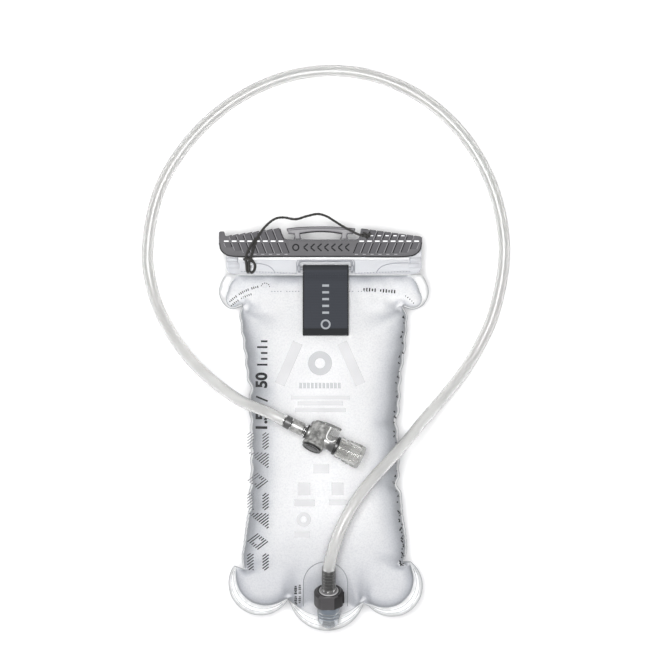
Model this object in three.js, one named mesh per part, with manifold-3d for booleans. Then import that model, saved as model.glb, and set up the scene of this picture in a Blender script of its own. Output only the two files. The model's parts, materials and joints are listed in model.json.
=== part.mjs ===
// Hydration bladder lying on its back: a frosted film reservoir with a slide
// closure, an outlet port near its bottom edge, and a drink tube with a shut-off
// valve and a bite valve. Millimetres. +Z is up, out of the front panel, and +Y
// points to the slide closure. The origin is under the middle of the reservoir.
import * as THREE from 'three';
import { mergeVertices } from 'three/addons/utils/BufferGeometryUtils.js';
import Module from 'manifold-3d';

const wasm = await Module();
wasm.setup();

// ---------- driving dimensions ----------
const GAP = 0.3;
const THROUGH = 40; // length of a cutter that runs right through a piece
const SEAM_Z = 29; // height of the weld plane, half-way up the filled reservoir
const FILM = 1.2; // modelled thickness of a panel's film
const FILL_FRONT = 0.56; // height of the front dome over half its width
const FILL_REAR = 0.62; // the same for the rear, before the floor flattens it
const MOUTH_Y = 118.4; // where the film ends and the rails begin
const WAIST_FLANGE = 2.5; // width of the weld along the sides
const SHOULDER_FLANGE = 6;
const LOBE_FLANGE = 6.5;

const RAIL_X = [-75.2, 75.4];
const RAIL_TOP_Y = 143;
const RAIL_T = 2.45;
const BEAD = 1.6; // how far a rail's bead stands out
const BEAD_Y = 138.2;

const SLIDER_BOTTOM_Y = 132.2;
const SLIDER_WAIST_Y = 145.3; // top of the slide closure under its handle
const SLIDER_HALF_T = 6.5;
const SLIDER_LEFT = -80.6;
const SLIDER_RIGHT = 75.7;
const HANDLE_TOP_Y = 155.6;

const LOOP_X = 1.5; // middle of the hang loop
const LOOP_WIDTH = 35.2;
const LOOP_BAR = [123, 34.2]; // y and z of the bar that the hang loop turns on
const LOOP_STRAP = 1.2;

const PORT_TILT = 34; // degrees between the port's axis and the weld plane
const PORT_TOP = new THREE.Vector3(3.9, -123.8, 55); // middle of the collar's top face
const COLLAR_H = 12;
const COLLAR_R = 11.3;
const SOCKET_R = 8.6;
const SOCKET_BALL = -26; // where the socket's round end is centred, along the axis
const PORT_BORE = 5.6;
const BARB_END = 19; // end of the plug's barb

const VALVE_AT = new THREE.Vector3(-5.0, -5.8, 72.8); // middle of the valve's barrel
const VALVE_TURN = -26; // degrees about +Z from +X to the valve's axis
const VALVE_ROLL = -18; // degrees about the valve's own axis
const BARREL_R = 8.4;
const BARREL_HALF = 9;
const SPOOL_R = 5.45;

const TUBE_R = 4.4;
const TETHER_R = 1;

// ---------- materials ----------
const plastic = (color, roughness, opacity = 1) =>
  new THREE.MeshStandardMaterial({ color, roughness, metalness: 0, transparent: opacity < 1, opacity });
const filmMaterial = plastic(0xe3e7ea, 0.45, 0.55);
const railMaterial = plastic(0xe9edef, 0.2, 0.5);
const greyMaterial = plastic(0x706d74, 0.42);
const darkMaterial = plastic(0x4f4b50, 0.4);
const socketMaterial = plastic(0x9fa9b2, 0.25, 0.6);
const barrelMaterial = plastic(0x8d8c88, 0.3, 0.85);
const clearMaterial = plastic(0xe6e6e2, 0.15, 0.5);
const tubeMaterial = plastic(0xe4e5e2, 0.25, 0.5);
const siliconeMaterial = plastic(0xc2c2bd, 0.35, 0.75);
const rubberMaterial = plastic(0x2b2b2d, 0.7);
const webbingMaterial = plastic(0x464a53, 0.9);
const cordMaterial = plastic(0x3a3835, 0.85);
const steelMaterial = new THREE.MeshStandardMaterial({ color: 0xb9bcc0, roughness: 0.3, metalness: 1 });

// ---------- small helpers ----------
function toSolid(geometry) {
  const bare = geometry.clone();
  bare.deleteAttribute('normal');
  bare.deleteAttribute('uv');
  const merged = mergeVertices(bare, 1e-4);
  return new wasm.Manifold(new wasm.Mesh({
    numProp: 3,
    vertProperties: new Float32Array(merged.attributes.position.array),
    triVerts: new Uint32Array(merged.index.array),
  }));
}

function toGeometry(solid) {
  const mesh = solid.getMesh();
  const geometry = new THREE.BufferGeometry();
  geometry.setAttribute('position', new THREE.BufferAttribute(new Float32Array(mesh.vertProperties), 3));
  geometry.setIndex(new THREE.BufferAttribute(new Uint32Array(mesh.triVerts), 1));
  return geometry;
}

function addPart(parent, name, shape, material) {
  const geometry = shape.isBufferGeometry ? shape : toGeometry(shape);
  const mesh = new THREE.Mesh(geometry, material);
  mesh.name = name;
  parent.add(mesh);
  return mesh;
}

function boxBetween(low, high) {
  const size = high.map((value, i) => value - low[i]);
  const geometry = new THREE.BoxGeometry(...size);
  geometry.translate(...low.map((value, i) => value + size[i] / 2));
  return geometry;
}

function prism(shape, low, high) {
  const geometry = new THREE.ExtrudeGeometry(shape, {
    depth: high - low,
    bevelEnabled: false,
    curveSegments: 5,
  });
  geometry.translate(0, 0, low);
  return geometry;
}

// A body turned about +Z. The points are [radius, height] pairs; a profile that
// doesn't end on the axis is closed on itself.
function turned(points, segments = 24) {
  const profile = points.map(([radius, height]) => new THREE.Vector2(radius, height));
  const onAxis = points[0][0] === 0 && points[points.length - 1][0] === 0;
  if (!onAxis) profile.push(profile[0].clone());
  const geometry = new THREE.LatheGeometry(profile, segments);
  geometry.rotateX(Math.PI / 2);
  return geometry;
}

function ring(major, minor, height) {
  const geometry = new THREE.TorusGeometry(major, minor, 6, 24);
  geometry.translate(0, 0, height);
  return geometry;
}

function roundSection(radius, sides) {
  const shape = new THREE.Shape();
  for (let i = 0; i < sides; i += 1) {
    const angle = (i / sides) * 2 * Math.PI;
    const point = [radius * Math.cos(angle), radius * Math.sin(angle)];
    if (i === 0) shape.moveTo(...point);
    else shape.lineTo(...point);
  }
  shape.closePath();
  return shape;
}

function tubeAlong(curve, radius, sides, steps) {
  return new THREE.ExtrudeGeometry(roundSection(radius, sides), { extrudePath: curve, steps });
}

const smoothstep = (low, high, value) => THREE.MathUtils.smoothstep(value, low, high);
const mix = THREE.MathUtils.lerp;

// ---------- the reservoir's outline ----------
const LOBES = [
  { x: 52.5, y: -121.5, r: 23.3, from: 52, to: -143 },
  { x: 2.5, y: -126.5, r: 29.1, from: -16, to: -164 },
  { x: -48.6, y: -119.4, r: 24.3, from: -30, to: -217 },
];

function reservoirOutline() {
  const point = (x, y) => new THREE.Vector2(x, y);
  const shape = new THREE.Shape();
  shape.moveTo(-75, MOUTH_Y);
  shape.lineTo(75.2, MOUTH_Y);
  shape.splineThru([point(78.6, 112.5), point(80.6, 105), point(76.8, 95.9), point(69, 92), point(60.5, 94)]);
  shape.splineThru([
    point(64, 87), point(62.4, 58.7), point(58.8, 32.5), point(57.7, -3.4),
    point(58, -35.3), point(60.8, -66.8), point(63.4, -92), point(61.5, -104.5),
  ]);
  for (const { x, y, r, from, to } of LOBES) {
    const start = THREE.MathUtils.degToRad(from);
    const end = THREE.MathUtils.degToRad(to);
    shape.absarc(x, y, r, start, end, true);
  }
  shape.lineTo(-61.4, -109);
  shape.splineThru([
    point(-61.8, -92), point(-58.4, -66.8), point(-56, -41.4), point(-56.1, 0.9),
    point(-56.6, 30.5), point(-60.1, 54.4), point(-64.2, 86), point(-62.4, 94),
  ]);
  shape.splineThru([
    point(-71, 92.2), point(-77.5, 97), point(-80.4, 105), point(-78.5, 112.5), point(-75, MOUTH_Y),
  ]);
  return shape;
}

// ---------- the filled film: a membrane welded along its outline ----------
const FIELD = { step: 4, x: -84, y: -168, columns: 43, rows: 73 };

function distanceToOutline(x, y, outline) {
  let nearest = Infinity;
  for (let i = 0; i < outline.length; i += 1) {
    const a = outline[i];
    const b = outline[(i + 1) % outline.length];
    const along = ((x - a.x) * (b.x - a.x) + (y - a.y) * (b.y - a.y)) / (a.distanceToSquared(b) || 1);
    const t = THREE.MathUtils.clamp(along, 0, 1);
    nearest = Math.min(nearest, Math.hypot(x - mix(a.x, b.x, t), y - mix(a.y, b.y, t)));
  }
  return nearest;
}

// Where a line across the reservoir at height y crosses the outline, sorted.
function crossings(y, outline) {
  const found = [];
  for (let i = 0; i < outline.length; i += 1) {
    const a = outline[i];
    const b = outline[(i + 1) % outline.length];
    if ((a.y > y) !== (b.y > y)) found.push(a.x + ((y - a.y) / (b.y - a.y)) * (b.x - a.x));
  }
  return found.sort((p, q) => p - q);
}

function flangeWidth(y) {
  if (y > 90) return SHOULDER_FLANGE;
  if (y < -104) return LOBE_FLANGE;
  return WAIST_FLANGE;
}

function solveMembrane(outline) {
  const { step, columns, rows } = FIELD;
  const free = [];
  const level = new Float64Array(columns * rows);
  for (let j = 1; j < rows - 1; j += 1) {
    for (let i = 1; i < columns - 1; i += 1) {
      const x = FIELD.x + i * step;
      const y = FIELD.y + j * step;
      const inside = crossings(y, outline).filter((edge) => edge < x).length % 2 === 1;
      if (!inside || y > MOUTH_Y - 1) continue;
      if (y < 112 && distanceToOutline(x, y, outline) < flangeWidth(y)) continue;
      free.push(j * columns + i);
    }
  }
  const SWEEPS = 400;
  const OVER = 1.88;
  for (let sweep = 0; sweep < SWEEPS; sweep += 1) {
    for (const k of free) {
      const around = level[k - 1] + level[k + 1] + level[k - columns] + level[k + columns];
      level[k] += OVER * ((around + step * step) / 4 - level[k]);
    }
  }
  return level;
}

const outlinePoints = reservoirOutline().getPoints(8);
const membrane = solveMembrane(outlinePoints);

function membraneAt(x, y) {
  const u = (x - FIELD.x) / FIELD.step;
  const v = (y - FIELD.y) / FIELD.step;
  const i = THREE.MathUtils.clamp(Math.floor(u), 0, FIELD.columns - 2);
  const j = THREE.MathUtils.clamp(Math.floor(v), 0, FIELD.rows - 2);
  const k = j * FIELD.columns + i;
  const lower = mix(membrane[k], membrane[k + 1], u - i);
  const upper = mix(membrane[k + FIELD.columns], membrane[k + FIELD.columns + 1], u - i);
  return Math.max(0, mix(lower, upper, v - j));
}

const portTilt = THREE.MathUtils.degToRad(PORT_TILT);
const PORT_BED = 15.2; // drop from the port's axis to the bed it stands on
const BED_HALF = 12;
const BED_RISE = 0.03;

// Height of a panel over the weld plane. Both ends taper to a wedge.
function domeHeight(x, y, fill) {
  const bottomTaper = mix(0.54, 1, smoothstep(-140, -70, y));
  const mouthTaper = mix(0.45, 1, 1 - smoothstep(55, MOUTH_Y, y));
  return fill * Math.sqrt(2 * membraneAt(x, y)) * bottomTaper * mouthTaper;
}

function frontHeight(x, y) {
  const axisZ = PORT_TOP.z + (y - PORT_TOP.y) * Math.tan(portTilt);
  const beside = Math.max(0, Math.abs(x - PORT_TOP.x) - BED_HALF);
  const bed = axisZ - PORT_BED - SEAM_Z - 2 * FILM - GAP + BED_RISE * beside * beside;
  return THREE.MathUtils.clamp(domeHeight(x, y, FILL_FRONT), 0, Math.max(0, bed));
}

// The film's facets: rows across the reservoir, each from one weld to the other.
const ROWS = [
  -168, -156, -149, -142, -135, -127, -118, -110, -100, -86, -70, -50, -30, -10,
  10, 30, 50, 66, 80, 90, 97, 106, 113, 120,
];
const STATIONS = [-1, -0.93, -0.78, -0.55, -0.28, 0, 0.28, 0.55, 0.78, 0.93, 1];
const SHEET_HALF = 86;

const filmRows = ROWS.map((y) => {
  const edges = crossings(THREE.MathUtils.clamp(y, -150, MOUTH_Y - 1), outlinePoints);
  const left = edges[0] + flangeWidth(y);
  const right = edges[edges.length - 1] - flangeWidth(y);
  const row = STATIONS.map((station) => {
    const x = mix(left, right, (station + 1) / 2);
    const welded = Math.abs(station) === 1;
    return { x, y, front: welded ? 0 : frontHeight(x, y), rear: welded ? 0 : domeHeight(x, y, FILL_REAR) };
  });
  return [{ x: -SHEET_HALF, y, front: 0, rear: 0 }, ...row, { x: SHEET_HALF, y, front: 0, rear: 0 }];
});

const frontTop = (node) => SEAM_Z + GAP / 2 + FILM + node.front;
const rearBottom = (node) => Math.max(0, SEAM_Z - GAP / 2 - FILM - node.rear);

// A closed sheet over the facets between two height functions.
function sheetBetween(bottom, top) {
  const columns = filmRows[0].length;
  const rows = filmRows.length;
  const positions = [];
  for (const height of [bottom, top]) {
    for (const node of filmRows.flat()) positions.push(node.x, node.y, height(node));
  }
  const layer = columns * rows;
  const index = [];
  const quad = (a, b, c, d) => index.push(a, b, c, a, c, d);
  for (let j = 0; j + 1 < rows; j += 1) {
    for (let i = 0; i + 1 < columns; i += 1) {
      const k = j * columns + i;
      quad(k, k + columns, k + columns + 1, k + 1);
      const m = k + layer;
      index.push(m, m + columns + 1, m + columns, m, m + 1, m + columns + 1);
    }
  }
  for (let i = 0; i + 1 < columns; i += 1) {
    const far = (rows - 1) * columns + i;
    quad(i, i + 1, i + 1 + layer, i + layer);
    quad(far + 1, far, far + layer, far + 1 + layer);
  }
  for (let j = 0; j + 1 < rows; j += 1) {
    const left = j * columns;
    const right = left + columns - 1;
    quad(left + columns, left, left + layer, left + columns + layer);
    quad(right, right + columns, right + columns + layer, right + layer);
  }
  const geometry = new THREE.BufferGeometry();
  geometry.setAttribute('position', new THREE.Float32BufferAttribute(positions, 3));
  geometry.setIndex(index);
  return geometry;
}

// ---------- frames for the port and the valve ----------
const portFrame = new THREE.Group();
portFrame.position.copy(PORT_TOP);
portFrame.rotation.x = portTilt - Math.PI / 2;
portFrame.updateMatrixWorld();

const valveFrame = new THREE.Group();
valveFrame.position.copy(VALVE_AT);
valveFrame.rotation.set(THREE.MathUtils.degToRad(VALVE_ROLL), 0, THREE.MathUtils.degToRad(VALVE_TURN), 'ZYX');

const bladder = new THREE.Group();
bladder.add(portFrame, valveFrame);

// ---------- film panels and the port's patch ----------
const WATERWAY_R = 2.4;
const WATERWAY_AT = -17;

function waterway() {
  const hole = new THREE.CylinderGeometry(WATERWAY_R, WATERWAY_R, 24, 20);
  hole.translate(0, 12, WATERWAY_AT);
  return hole;
}

const waterwayInRow = toSolid(waterway().applyMatrix4(portFrame.matrixWorld));
const reservoirPrism = toSolid(prism(reservoirOutline(), -20, 120));

function panels() {
  const front = toSolid(sheetBetween((node) => frontTop(node) - FILM, frontTop));
  const rear = toSolid(sheetBetween(rearBottom, (node) => rearBottom(node) + FILM));
  addPart(bladder, 'front_panel', front.intersect(reservoirPrism).subtract(waterwayInRow), filmMaterial);
  addPart(bladder, 'rear_panel', rear.intersect(reservoirPrism), filmMaterial);
}

const PATCH_T = 0.8;
const PATCH_HALF = 17.3;
const PATCH_X = 1.4;
const PATCH_Y = [-139, -119.3]; // straight part of the arch

function patchArch() {
  const shape = new THREE.Shape();
  shape.moveTo(PATCH_X - PATCH_HALF, PATCH_Y[0]);
  shape.lineTo(PATCH_X + PATCH_HALF, PATCH_Y[0]);
  shape.lineTo(PATCH_X + PATCH_HALF, PATCH_Y[1]);
  shape.absarc(PATCH_X, PATCH_Y[1], PATCH_HALF, 0, Math.PI, false);
  shape.closePath();
  return shape;
}

const patchTop = (node) => frontTop(node) + GAP + PATCH_T;

function portPatch() {
  const sheet = toSolid(sheetBetween((node) => frontTop(node) + GAP, patchTop));
  const patch = sheet.intersect(toSolid(prism(patchArch(), 0, 120))).subtract(waterwayInRow);
  addPart(bladder, 'port_patch', patch, filmMaterial);
}

// ---------- rails that stiffen the mouth ----------
const EYELET = [-57, 124.5];
const EYELET_R = 1.7;
const WINDOW_X = [LOOP_X - LOOP_WIDTH / 2 - 1.8, LOOP_X + LOOP_WIDTH / 2 + 1.8];
const WINDOW_Y = [119.9, 128.6];

function railPlate(side) {
  const face = SEAM_Z + side * (GAP / 2);
  const back = face + side * RAIL_T;
  const crest = back + side * BEAD;
  const plate = new THREE.Shape();
  const corner = 5;
  plate.moveTo(RAIL_X[0], MOUTH_Y + GAP + corner);
  plate.quadraticCurveTo(RAIL_X[0], MOUTH_Y + GAP, RAIL_X[0] + corner, MOUTH_Y + GAP);
  plate.lineTo(RAIL_X[1] - corner, MOUTH_Y + GAP);
  plate.quadraticCurveTo(RAIL_X[1], MOUTH_Y + GAP, RAIL_X[1], MOUTH_Y + GAP + corner);
  plate.lineTo(RAIL_X[1], RAIL_TOP_Y);
  plate.lineTo(RAIL_X[0], RAIL_TOP_Y);
  plate.closePath();
  const bead = boxBetween(
    [RAIL_X[0], BEAD_Y, Math.min(face, crest)],
    [RAIL_X[1], RAIL_TOP_Y, Math.max(face, crest)],
  );
  return toSolid(prism(plate, Math.min(face, back), Math.max(face, back))).add(toSolid(bead));
}

function rails() {
  const [barY, barZ] = LOOP_BAR;
  const eyelet = new THREE.CylinderGeometry(EYELET_R, EYELET_R, THROUGH, 16);
  eyelet.rotateX(Math.PI / 2);
  eyelet.translate(...EYELET, SEAM_Z);
  const eyeletHole = toSolid(eyelet);
  const window = toSolid(boxBetween([WINDOW_X[0], WINDOW_Y[0], SEAM_Z], [WINDOW_X[1], WINDOW_Y[1], THROUGH]));
  const BAR_R = 1.2;
  const bar = new THREE.CylinderGeometry(BAR_R, BAR_R, WINDOW_X[1] - WINDOW_X[0] + 4, 16);
  bar.rotateZ(Math.PI / 2);
  bar.translate(LOOP_X, barY, barZ);
  let front = railPlate(1).subtract(window).subtract(eyeletHole).add(toSolid(bar));
  for (const x of [WINDOW_X[0] - 2.4, WINDOW_X[1]]) {
    front = front.add(toSolid(boxBetween([x, barY - 2.2, SEAM_Z + 1], [x + 2.4, barY + 2.2, barZ + 1.5])));
  }
  addPart(bladder, 'front_rail', front, railMaterial);
  addPart(bladder, 'rear_rail', railPlate(-1).subtract(eyeletHole), railMaterial);
}

// ---------- slide closure ----------
function sliderOutline() {
  const shape = new THREE.Shape();
  shape.moveTo(SLIDER_LEFT, 151.5);
  shape.lineTo(SLIDER_LEFT, 142);
  shape.quadraticCurveTo(SLIDER_LEFT + 0.5, SLIDER_BOTTOM_Y, -69, SLIDER_BOTTOM_Y);
  shape.lineTo(64, SLIDER_BOTTOM_Y);
  shape.quadraticCurveTo(SLIDER_RIGHT - 0.5, SLIDER_BOTTOM_Y, SLIDER_RIGHT, 143);
  shape.lineTo(SLIDER_RIGHT, 147.6);
  shape.lineTo(28.8, 154);
  shape.quadraticCurveTo(28, SLIDER_WAIST_Y + 1, 24.4, SLIDER_WAIST_Y);
  shape.lineTo(-28, SLIDER_WAIST_Y);
  shape.quadraticCurveTo(-32, SLIDER_WAIST_Y + 1, -33.6, 154.2);
  shape.lineTo(-75.6, 148);
  shape.lineTo(-76.6, 151.5);
  shape.closePath();
  return shape;
}

const TETHER_HOLE = [32.4, 148.4];
const TETHER_HOLE_R = 1.5;
const RIBS_PER_WING = 8;
const RIB_PITCH = 6;
const FIRST_RIBS = [[-1, -30.8], [1, 27.1]]; // side of each wing and x of its first rib

function sliderRibs() {
  const ribs = [];
  for (const [side, start] of FIRST_RIBS) {
    for (let i = 0; i < RIBS_PER_WING; i += 1) {
      const rib = new THREE.BoxGeometry(1.5, 8.6, 1.2);
      rib.rotateZ(side * THREE.MathUtils.degToRad(-18));
      rib.translate(start + side * i * RIB_PITCH, SLIDER_BOTTOM_Y + 6.4, SEAM_Z + SLIDER_HALF_T + 0.2);
      ribs.push(toSolid(rib));
    }
  }
  return ribs;
}

function slider() {
  const low = SEAM_Z - SLIDER_HALF_T;
  const high = SEAM_Z + SLIDER_HALF_T;
  const throat = RAIL_T + GAP / 2 + 0.4;
  const cavity = throat + BEAD;
  const roof = RAIL_TOP_Y + 0.4;
  const endWall = SLIDER_LEFT + 3.6;
  let bar = toSolid(prism(sliderOutline(), low, high));
  const openEnd = SLIDER_RIGHT + 10;
  const cuts = [
    boxBetween([endWall, SLIDER_BOTTOM_Y - 2, SEAM_Z - throat], [openEnd, roof, SEAM_Z + throat]),
    boxBetween([endWall, BEAD_Y - 0.4, SEAM_Z - cavity], [openEnd, roof, SEAM_Z + cavity]),
  ];
  for (const cut of cuts) bar = bar.subtract(toSolid(cut));
  for (const rib of sliderRibs()) bar = bar.add(rib);
  const hole = new THREE.CylinderGeometry(TETHER_HOLE_R, TETHER_HOLE_R, THROUGH, 16);
  hole.rotateX(Math.PI / 2);
  hole.translate(...TETHER_HOLE, SEAM_Z);
  bar = bar.subtract(toSolid(hole));
  addPart(bladder, 'slider_bar', bar, greyMaterial);
}

const HANDLE_Z = [25, 33];

function pullHandle() {
  const postFoot = SLIDER_WAIST_Y + GAP;
  const shape = new THREE.Shape();
  shape.moveTo(-22.4, postFoot);
  shape.lineTo(-18.4, postFoot);
  shape.lineTo(-18.4, 150.8);
  shape.quadraticCurveTo(-2, 153, 14, 150.8);
  shape.lineTo(14, postFoot);
  shape.lineTo(18, postFoot);
  shape.lineTo(18, 151);
  shape.lineTo(23.5, 150.6);
  shape.lineTo(25, 154);
  shape.quadraticCurveTo(-2, HANDLE_TOP_Y + 1.6, -29, 154);
  shape.lineTo(-27.4, 150.6);
  shape.lineTo(-22.4, 151);
  shape.closePath();
  addPart(bladder, 'pull_handle', prism(shape, ...HANDLE_Z), greyMaterial);
}

// ---------- hang loop ----------
function hangLoop() {
  const [barY, barZ] = LOOP_BAR;
  const inner = 1.6; // half of the gap around the bar
  const slack = 0.7; // half of the gap between the two layers
  const middle = new THREE.CatmullRomCurve3([
    [barY, barZ], [119.8, 35.3], [116.5, 37.2], [113, 39.7], [106, 42.6],
    [98, 46.7], [88, 51.5], [80, 55.4], [72.9, 58.5],
  ].map(([y, z]) => new THREE.Vector3(0, y, z)));
  const STEPS = 14;
  const side = (offset) => {
    const points = [];
    for (let i = 0; i <= STEPS; i += 1) {
      const t = i / STEPS;
      const at = middle.getPointAt(t);
      const along = middle.getTangentAt(t);
      const swell = offset + Math.sign(offset) * mix(inner - slack, 0, smoothstep(0, 0.14, t));
      points.push(new THREE.Vector2(at.y + along.z * swell, at.z - along.y * swell));
    }
    return points;
  };
  const end = middle.getPointAt(1);
  const endAlong = middle.getTangentAt(1);
  const band = (half, reach) => {
    const wrap = [-67, -45, -22, 0, 22, 45, 67].map((degrees) => {
      const angle = THREE.MathUtils.degToRad(degrees);
      const reachOut = half + inner - slack;
      return new THREE.Vector2(barY + reachOut * Math.cos(angle), barZ + reachOut * Math.sin(angle));
    });
    const fold = new THREE.Vector2(end.y + endAlong.y * reach, end.z + endAlong.z * reach);
    return [...wrap, ...side(half), fold, ...side(-half).reverse()];
  };
  const shape = new THREE.Shape(band(slack + LOOP_STRAP, LOOP_STRAP + 0.6));
  shape.holes.push(new THREE.Path(band(slack, 0.5)));
  const geometry = new THREE.ExtrudeGeometry(shape, { depth: LOOP_WIDTH, bevelEnabled: false });
  // The outline lies in x = row y and y = row z, and its depth becomes row x.
  const toRow = new THREE.Matrix4().set(0, 0, 1, 0, 1, 0, 0, 0, 0, 1, 0, 0, 0, 0, 0, 1);
  geometry.applyMatrix4(toRow);
  geometry.translate(LOOP_X - LOOP_WIDTH / 2, 0, 0);
  addPart(bladder, 'hang_loop', geometry, webbingMaterial);
}

// ---------- outlet port ----------
// The profile of a round lower end, from its tip on the axis to its widest point.
function roundEnd(radius, centre, steps) {
  const points = [[0, centre - radius]];
  for (let i = 1; i <= steps; i += 1) {
    const angle = (i / steps) * (Math.PI / 2);
    points.push([radius * Math.sin(angle), centre - radius * Math.cos(angle)]);
  }
  return points;
}

const NECK_R = 7.4;
const NECK_TOP = -3.6;
const CHAMBER_R = 5;
const LEDGE = [-25.6, -24.4];

function portBase() {
  const shell = toSolid(turned([
    ...roundEnd(SOCKET_R, SOCKET_BALL, 7),
    [SOCKET_R, -COLLAR_H - GAP],
    [NECK_R, -COLLAR_H - GAP],
    [NECK_R, NECK_TOP],
    [0, NECK_TOP],
  ]));
  const pedestal = toSolid(boxBetween([-7, 0, -25.5], [7, 16, -COLLAR_H - 1]));
  const bore = toSolid(turned([
    [0, NECK_TOP + 1],
    [PORT_BORE, NECK_TOP + 1],
    [PORT_BORE, LEDGE[1]],
    [4, LEDGE[1]],
    [4, LEDGE[0]],
    [CHAMBER_R, LEDGE[0]],
    [CHAMBER_R, -31.9],
    [0, -31.9],
  ].reverse()));
  const intoPort = portFrame.matrixWorld.clone().invert();
  const bed = (node) => patchTop(node) + GAP;
  const below = toSolid(sheetBetween(() => 0, bed).applyMatrix4(intoPort));
  const base = shell.add(pedestal).subtract(bore).subtract(below).subtract(toSolid(waterway()));
  addPart(portFrame, 'port_base', base, socketMaterial);
}

const POCKET = { depth: 8.6, half: 3.9, low: -10.4, high: -3.4 };
const BUTTON_BACK = 10.4; // how far from the port's axis the release button begins
const BUTTON_EDGE = 0.4;

function portCollar() {
  const round = toSolid(turned([
    [0, -COLLAR_H],
    [COLLAR_R - 0.6, -COLLAR_H],
    [COLLAR_R, -COLLAR_H + 0.6],
    [COLLAR_R, -0.8],
    [COLLAR_R - 0.8, 0],
    [0, 0],
  ]));
  const cornerR = COLLAR_R + 0.5;
  const facets = new THREE.CylinderGeometry(cornerR, cornerR, THROUGH, 8, 1, false, Math.PI / 8);
  facets.rotateX(Math.PI / 2);
  const hole = turned([[0, -20], [7.7, -20], [7.7, -3.2], [8.7, -3.2], [8.7, 5], [0, 5]]);
  const pocket = boxBetween([POCKET.depth, -POCKET.half, POCKET.low], [20, POCKET.half, POCKET.high]);
  const collar = round.intersect(toSolid(facets)).subtract(toSolid(hole)).subtract(toSolid(pocket));
  addPart(portFrame, 'port_collar', collar, darkMaterial);
}

function releaseButton() {
  const face = new THREE.Shape();
  const half = POCKET.half - GAP;
  face.moveTo(-half, POCKET.low + GAP);
  face.lineTo(half, POCKET.low + GAP);
  face.lineTo(half, POCKET.high - GAP);
  face.lineTo(-half, POCKET.high - GAP);
  face.closePath();
  const cap = new THREE.ExtrudeGeometry(face, {
    depth: 1.2,
    bevelSize: -BUTTON_EDGE,
    bevelThickness: BUTTON_EDGE,
    bevelOffset: 0,
    bevelSegments: 2,
  });
  // The face's x becomes the port's y, its y the port's z, and its depth the port's x.
  cap.applyMatrix4(new THREE.Matrix4().set(0, 0, 1, 0, 1, 0, 0, 0, 0, 1, 0, 0, 0, 0, 0, 1));
  cap.translate(BUTTON_BACK, 0, 0);
  addPart(portFrame, 'release_button', cap, darkMaterial);
  const leaf = new THREE.Shape();
  const bow = 1.3;
  const sheet = 0.3;
  leaf.moveTo(-3.2, 0);
  leaf.quadraticCurveTo(0, bow, 3.2, 0);
  leaf.lineTo(3.2, sheet);
  leaf.quadraticCurveTo(0, bow + sheet, -3.2, sheet);
  leaf.closePath();
  const spring = prism(leaf, -1.5, 1.5);
  spring.applyMatrix4(new THREE.Matrix4().set(0, 1, 0, 0, 1, 0, 0, 0, 0, 0, -1, 0, 0, 0, 0, 1));
  spring.translate(POCKET.depth + 0.2, 0, (POCKET.low + POCKET.high) / 2);
  addPart(portFrame, 'button_spring', spring, steelMaterial);
}

function poppetParts() {
  addPart(portFrame, 'poppet', turned([
    [0, -29.4], [4.6, -29.4], [4.6, -28.7], [3.6, -28.7], [3.6, -28], [0, -28],
  ]), barrelMaterial);
  addPart(portFrame, 'poppet_seal', ring(4.25, 0.45, -28.15), rubberMaterial);
  const TURNS = 2;
  const COIL_R = 3.2;
  const coilSteps = TURNS * 10;
  const coil = [];
  for (let i = 0; i <= coilSteps; i += 1) {
    const angle = (i / coilSteps) * TURNS * 2 * Math.PI;
    const height = mix(-31.4, -29.9, i / coilSteps);
    coil.push(new THREE.Vector3(COIL_R * Math.cos(angle), COIL_R * Math.sin(angle), height));
  }
  const wire = tubeAlong(new THREE.CatmullRomCurve3(coil), 0.25, 6, 36);
  addPart(portFrame, 'poppet_spring', wire, steelMaterial);
}

// ---------- plug on the tube's end ----------
const BORE_IN_PLUG = 2.3;

function barbProfile(from, to, root, ridge, count) {
  const pitch = (to - from) / count;
  const points = [];
  for (let i = 0; i < count; i += 1) {
    const at = from + i * pitch;
    points.push([root, at], [ridge, at + 0.35 * pitch], [root, at + 0.95 * pitch]);
  }
  return points;
}

const PLUG_RINGS = [-22.6, -19.6];

function plug() {
  const groove = (at) => [[4.9, at - 0.9], [3.9, at - 0.9], [3.9, at + 0.9], [4.9, at + 0.9]];
  addPart(portFrame, 'plug_body', turned([
    [BORE_IN_PLUG, -27.7],
    [3.4, -27.7],
    [3.4, -24.2],
    [4.9, -24],
    ...groove(PLUG_RINGS[0]),
    ...groove(PLUG_RINGS[1]),
    [4.9, -6],
    [4.9, -3],
    [8.3, -2.9],
    [8.3, -0.6],
    [7.6, 0],
    [4.5, 0.2],
    ...barbProfile(2, BARB_END, 3.1, 3.9, 4),
    [2.9, BARB_END],
    [BORE_IN_PLUG, BARB_END],
  ], 18), darkMaterial);
  PLUG_RINGS.forEach((at, i) => {
    addPart(portFrame, `plug_o_ring_${i + 1}`, ring(4.72, 0.72, at), rubberMaterial);
  });
}

// ---------- shut-off valve ----------
function turnedAlongX(points, segments = 18) {
  const geometry = turned(points, segments);
  geometry.rotateY(Math.PI / 2);
  return toSolid(geometry);
}

function turnedAlongY(points, segments = 20) {
  const geometry = turned(points, segments);
  geometry.rotateX(-Math.PI / 2);
  return toSolid(geometry);
}

const rod = (radius) => [[0, -THROUGH], [radius, -THROUGH], [radius, THROUGH], [0, THROUGH]];

const VALVE_BARB = [-28, -9.6];
const FLANGE_X = [15, 17.4];
const NIPPLE_END = 26;
const VALVE_BORE = 2.2;

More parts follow.
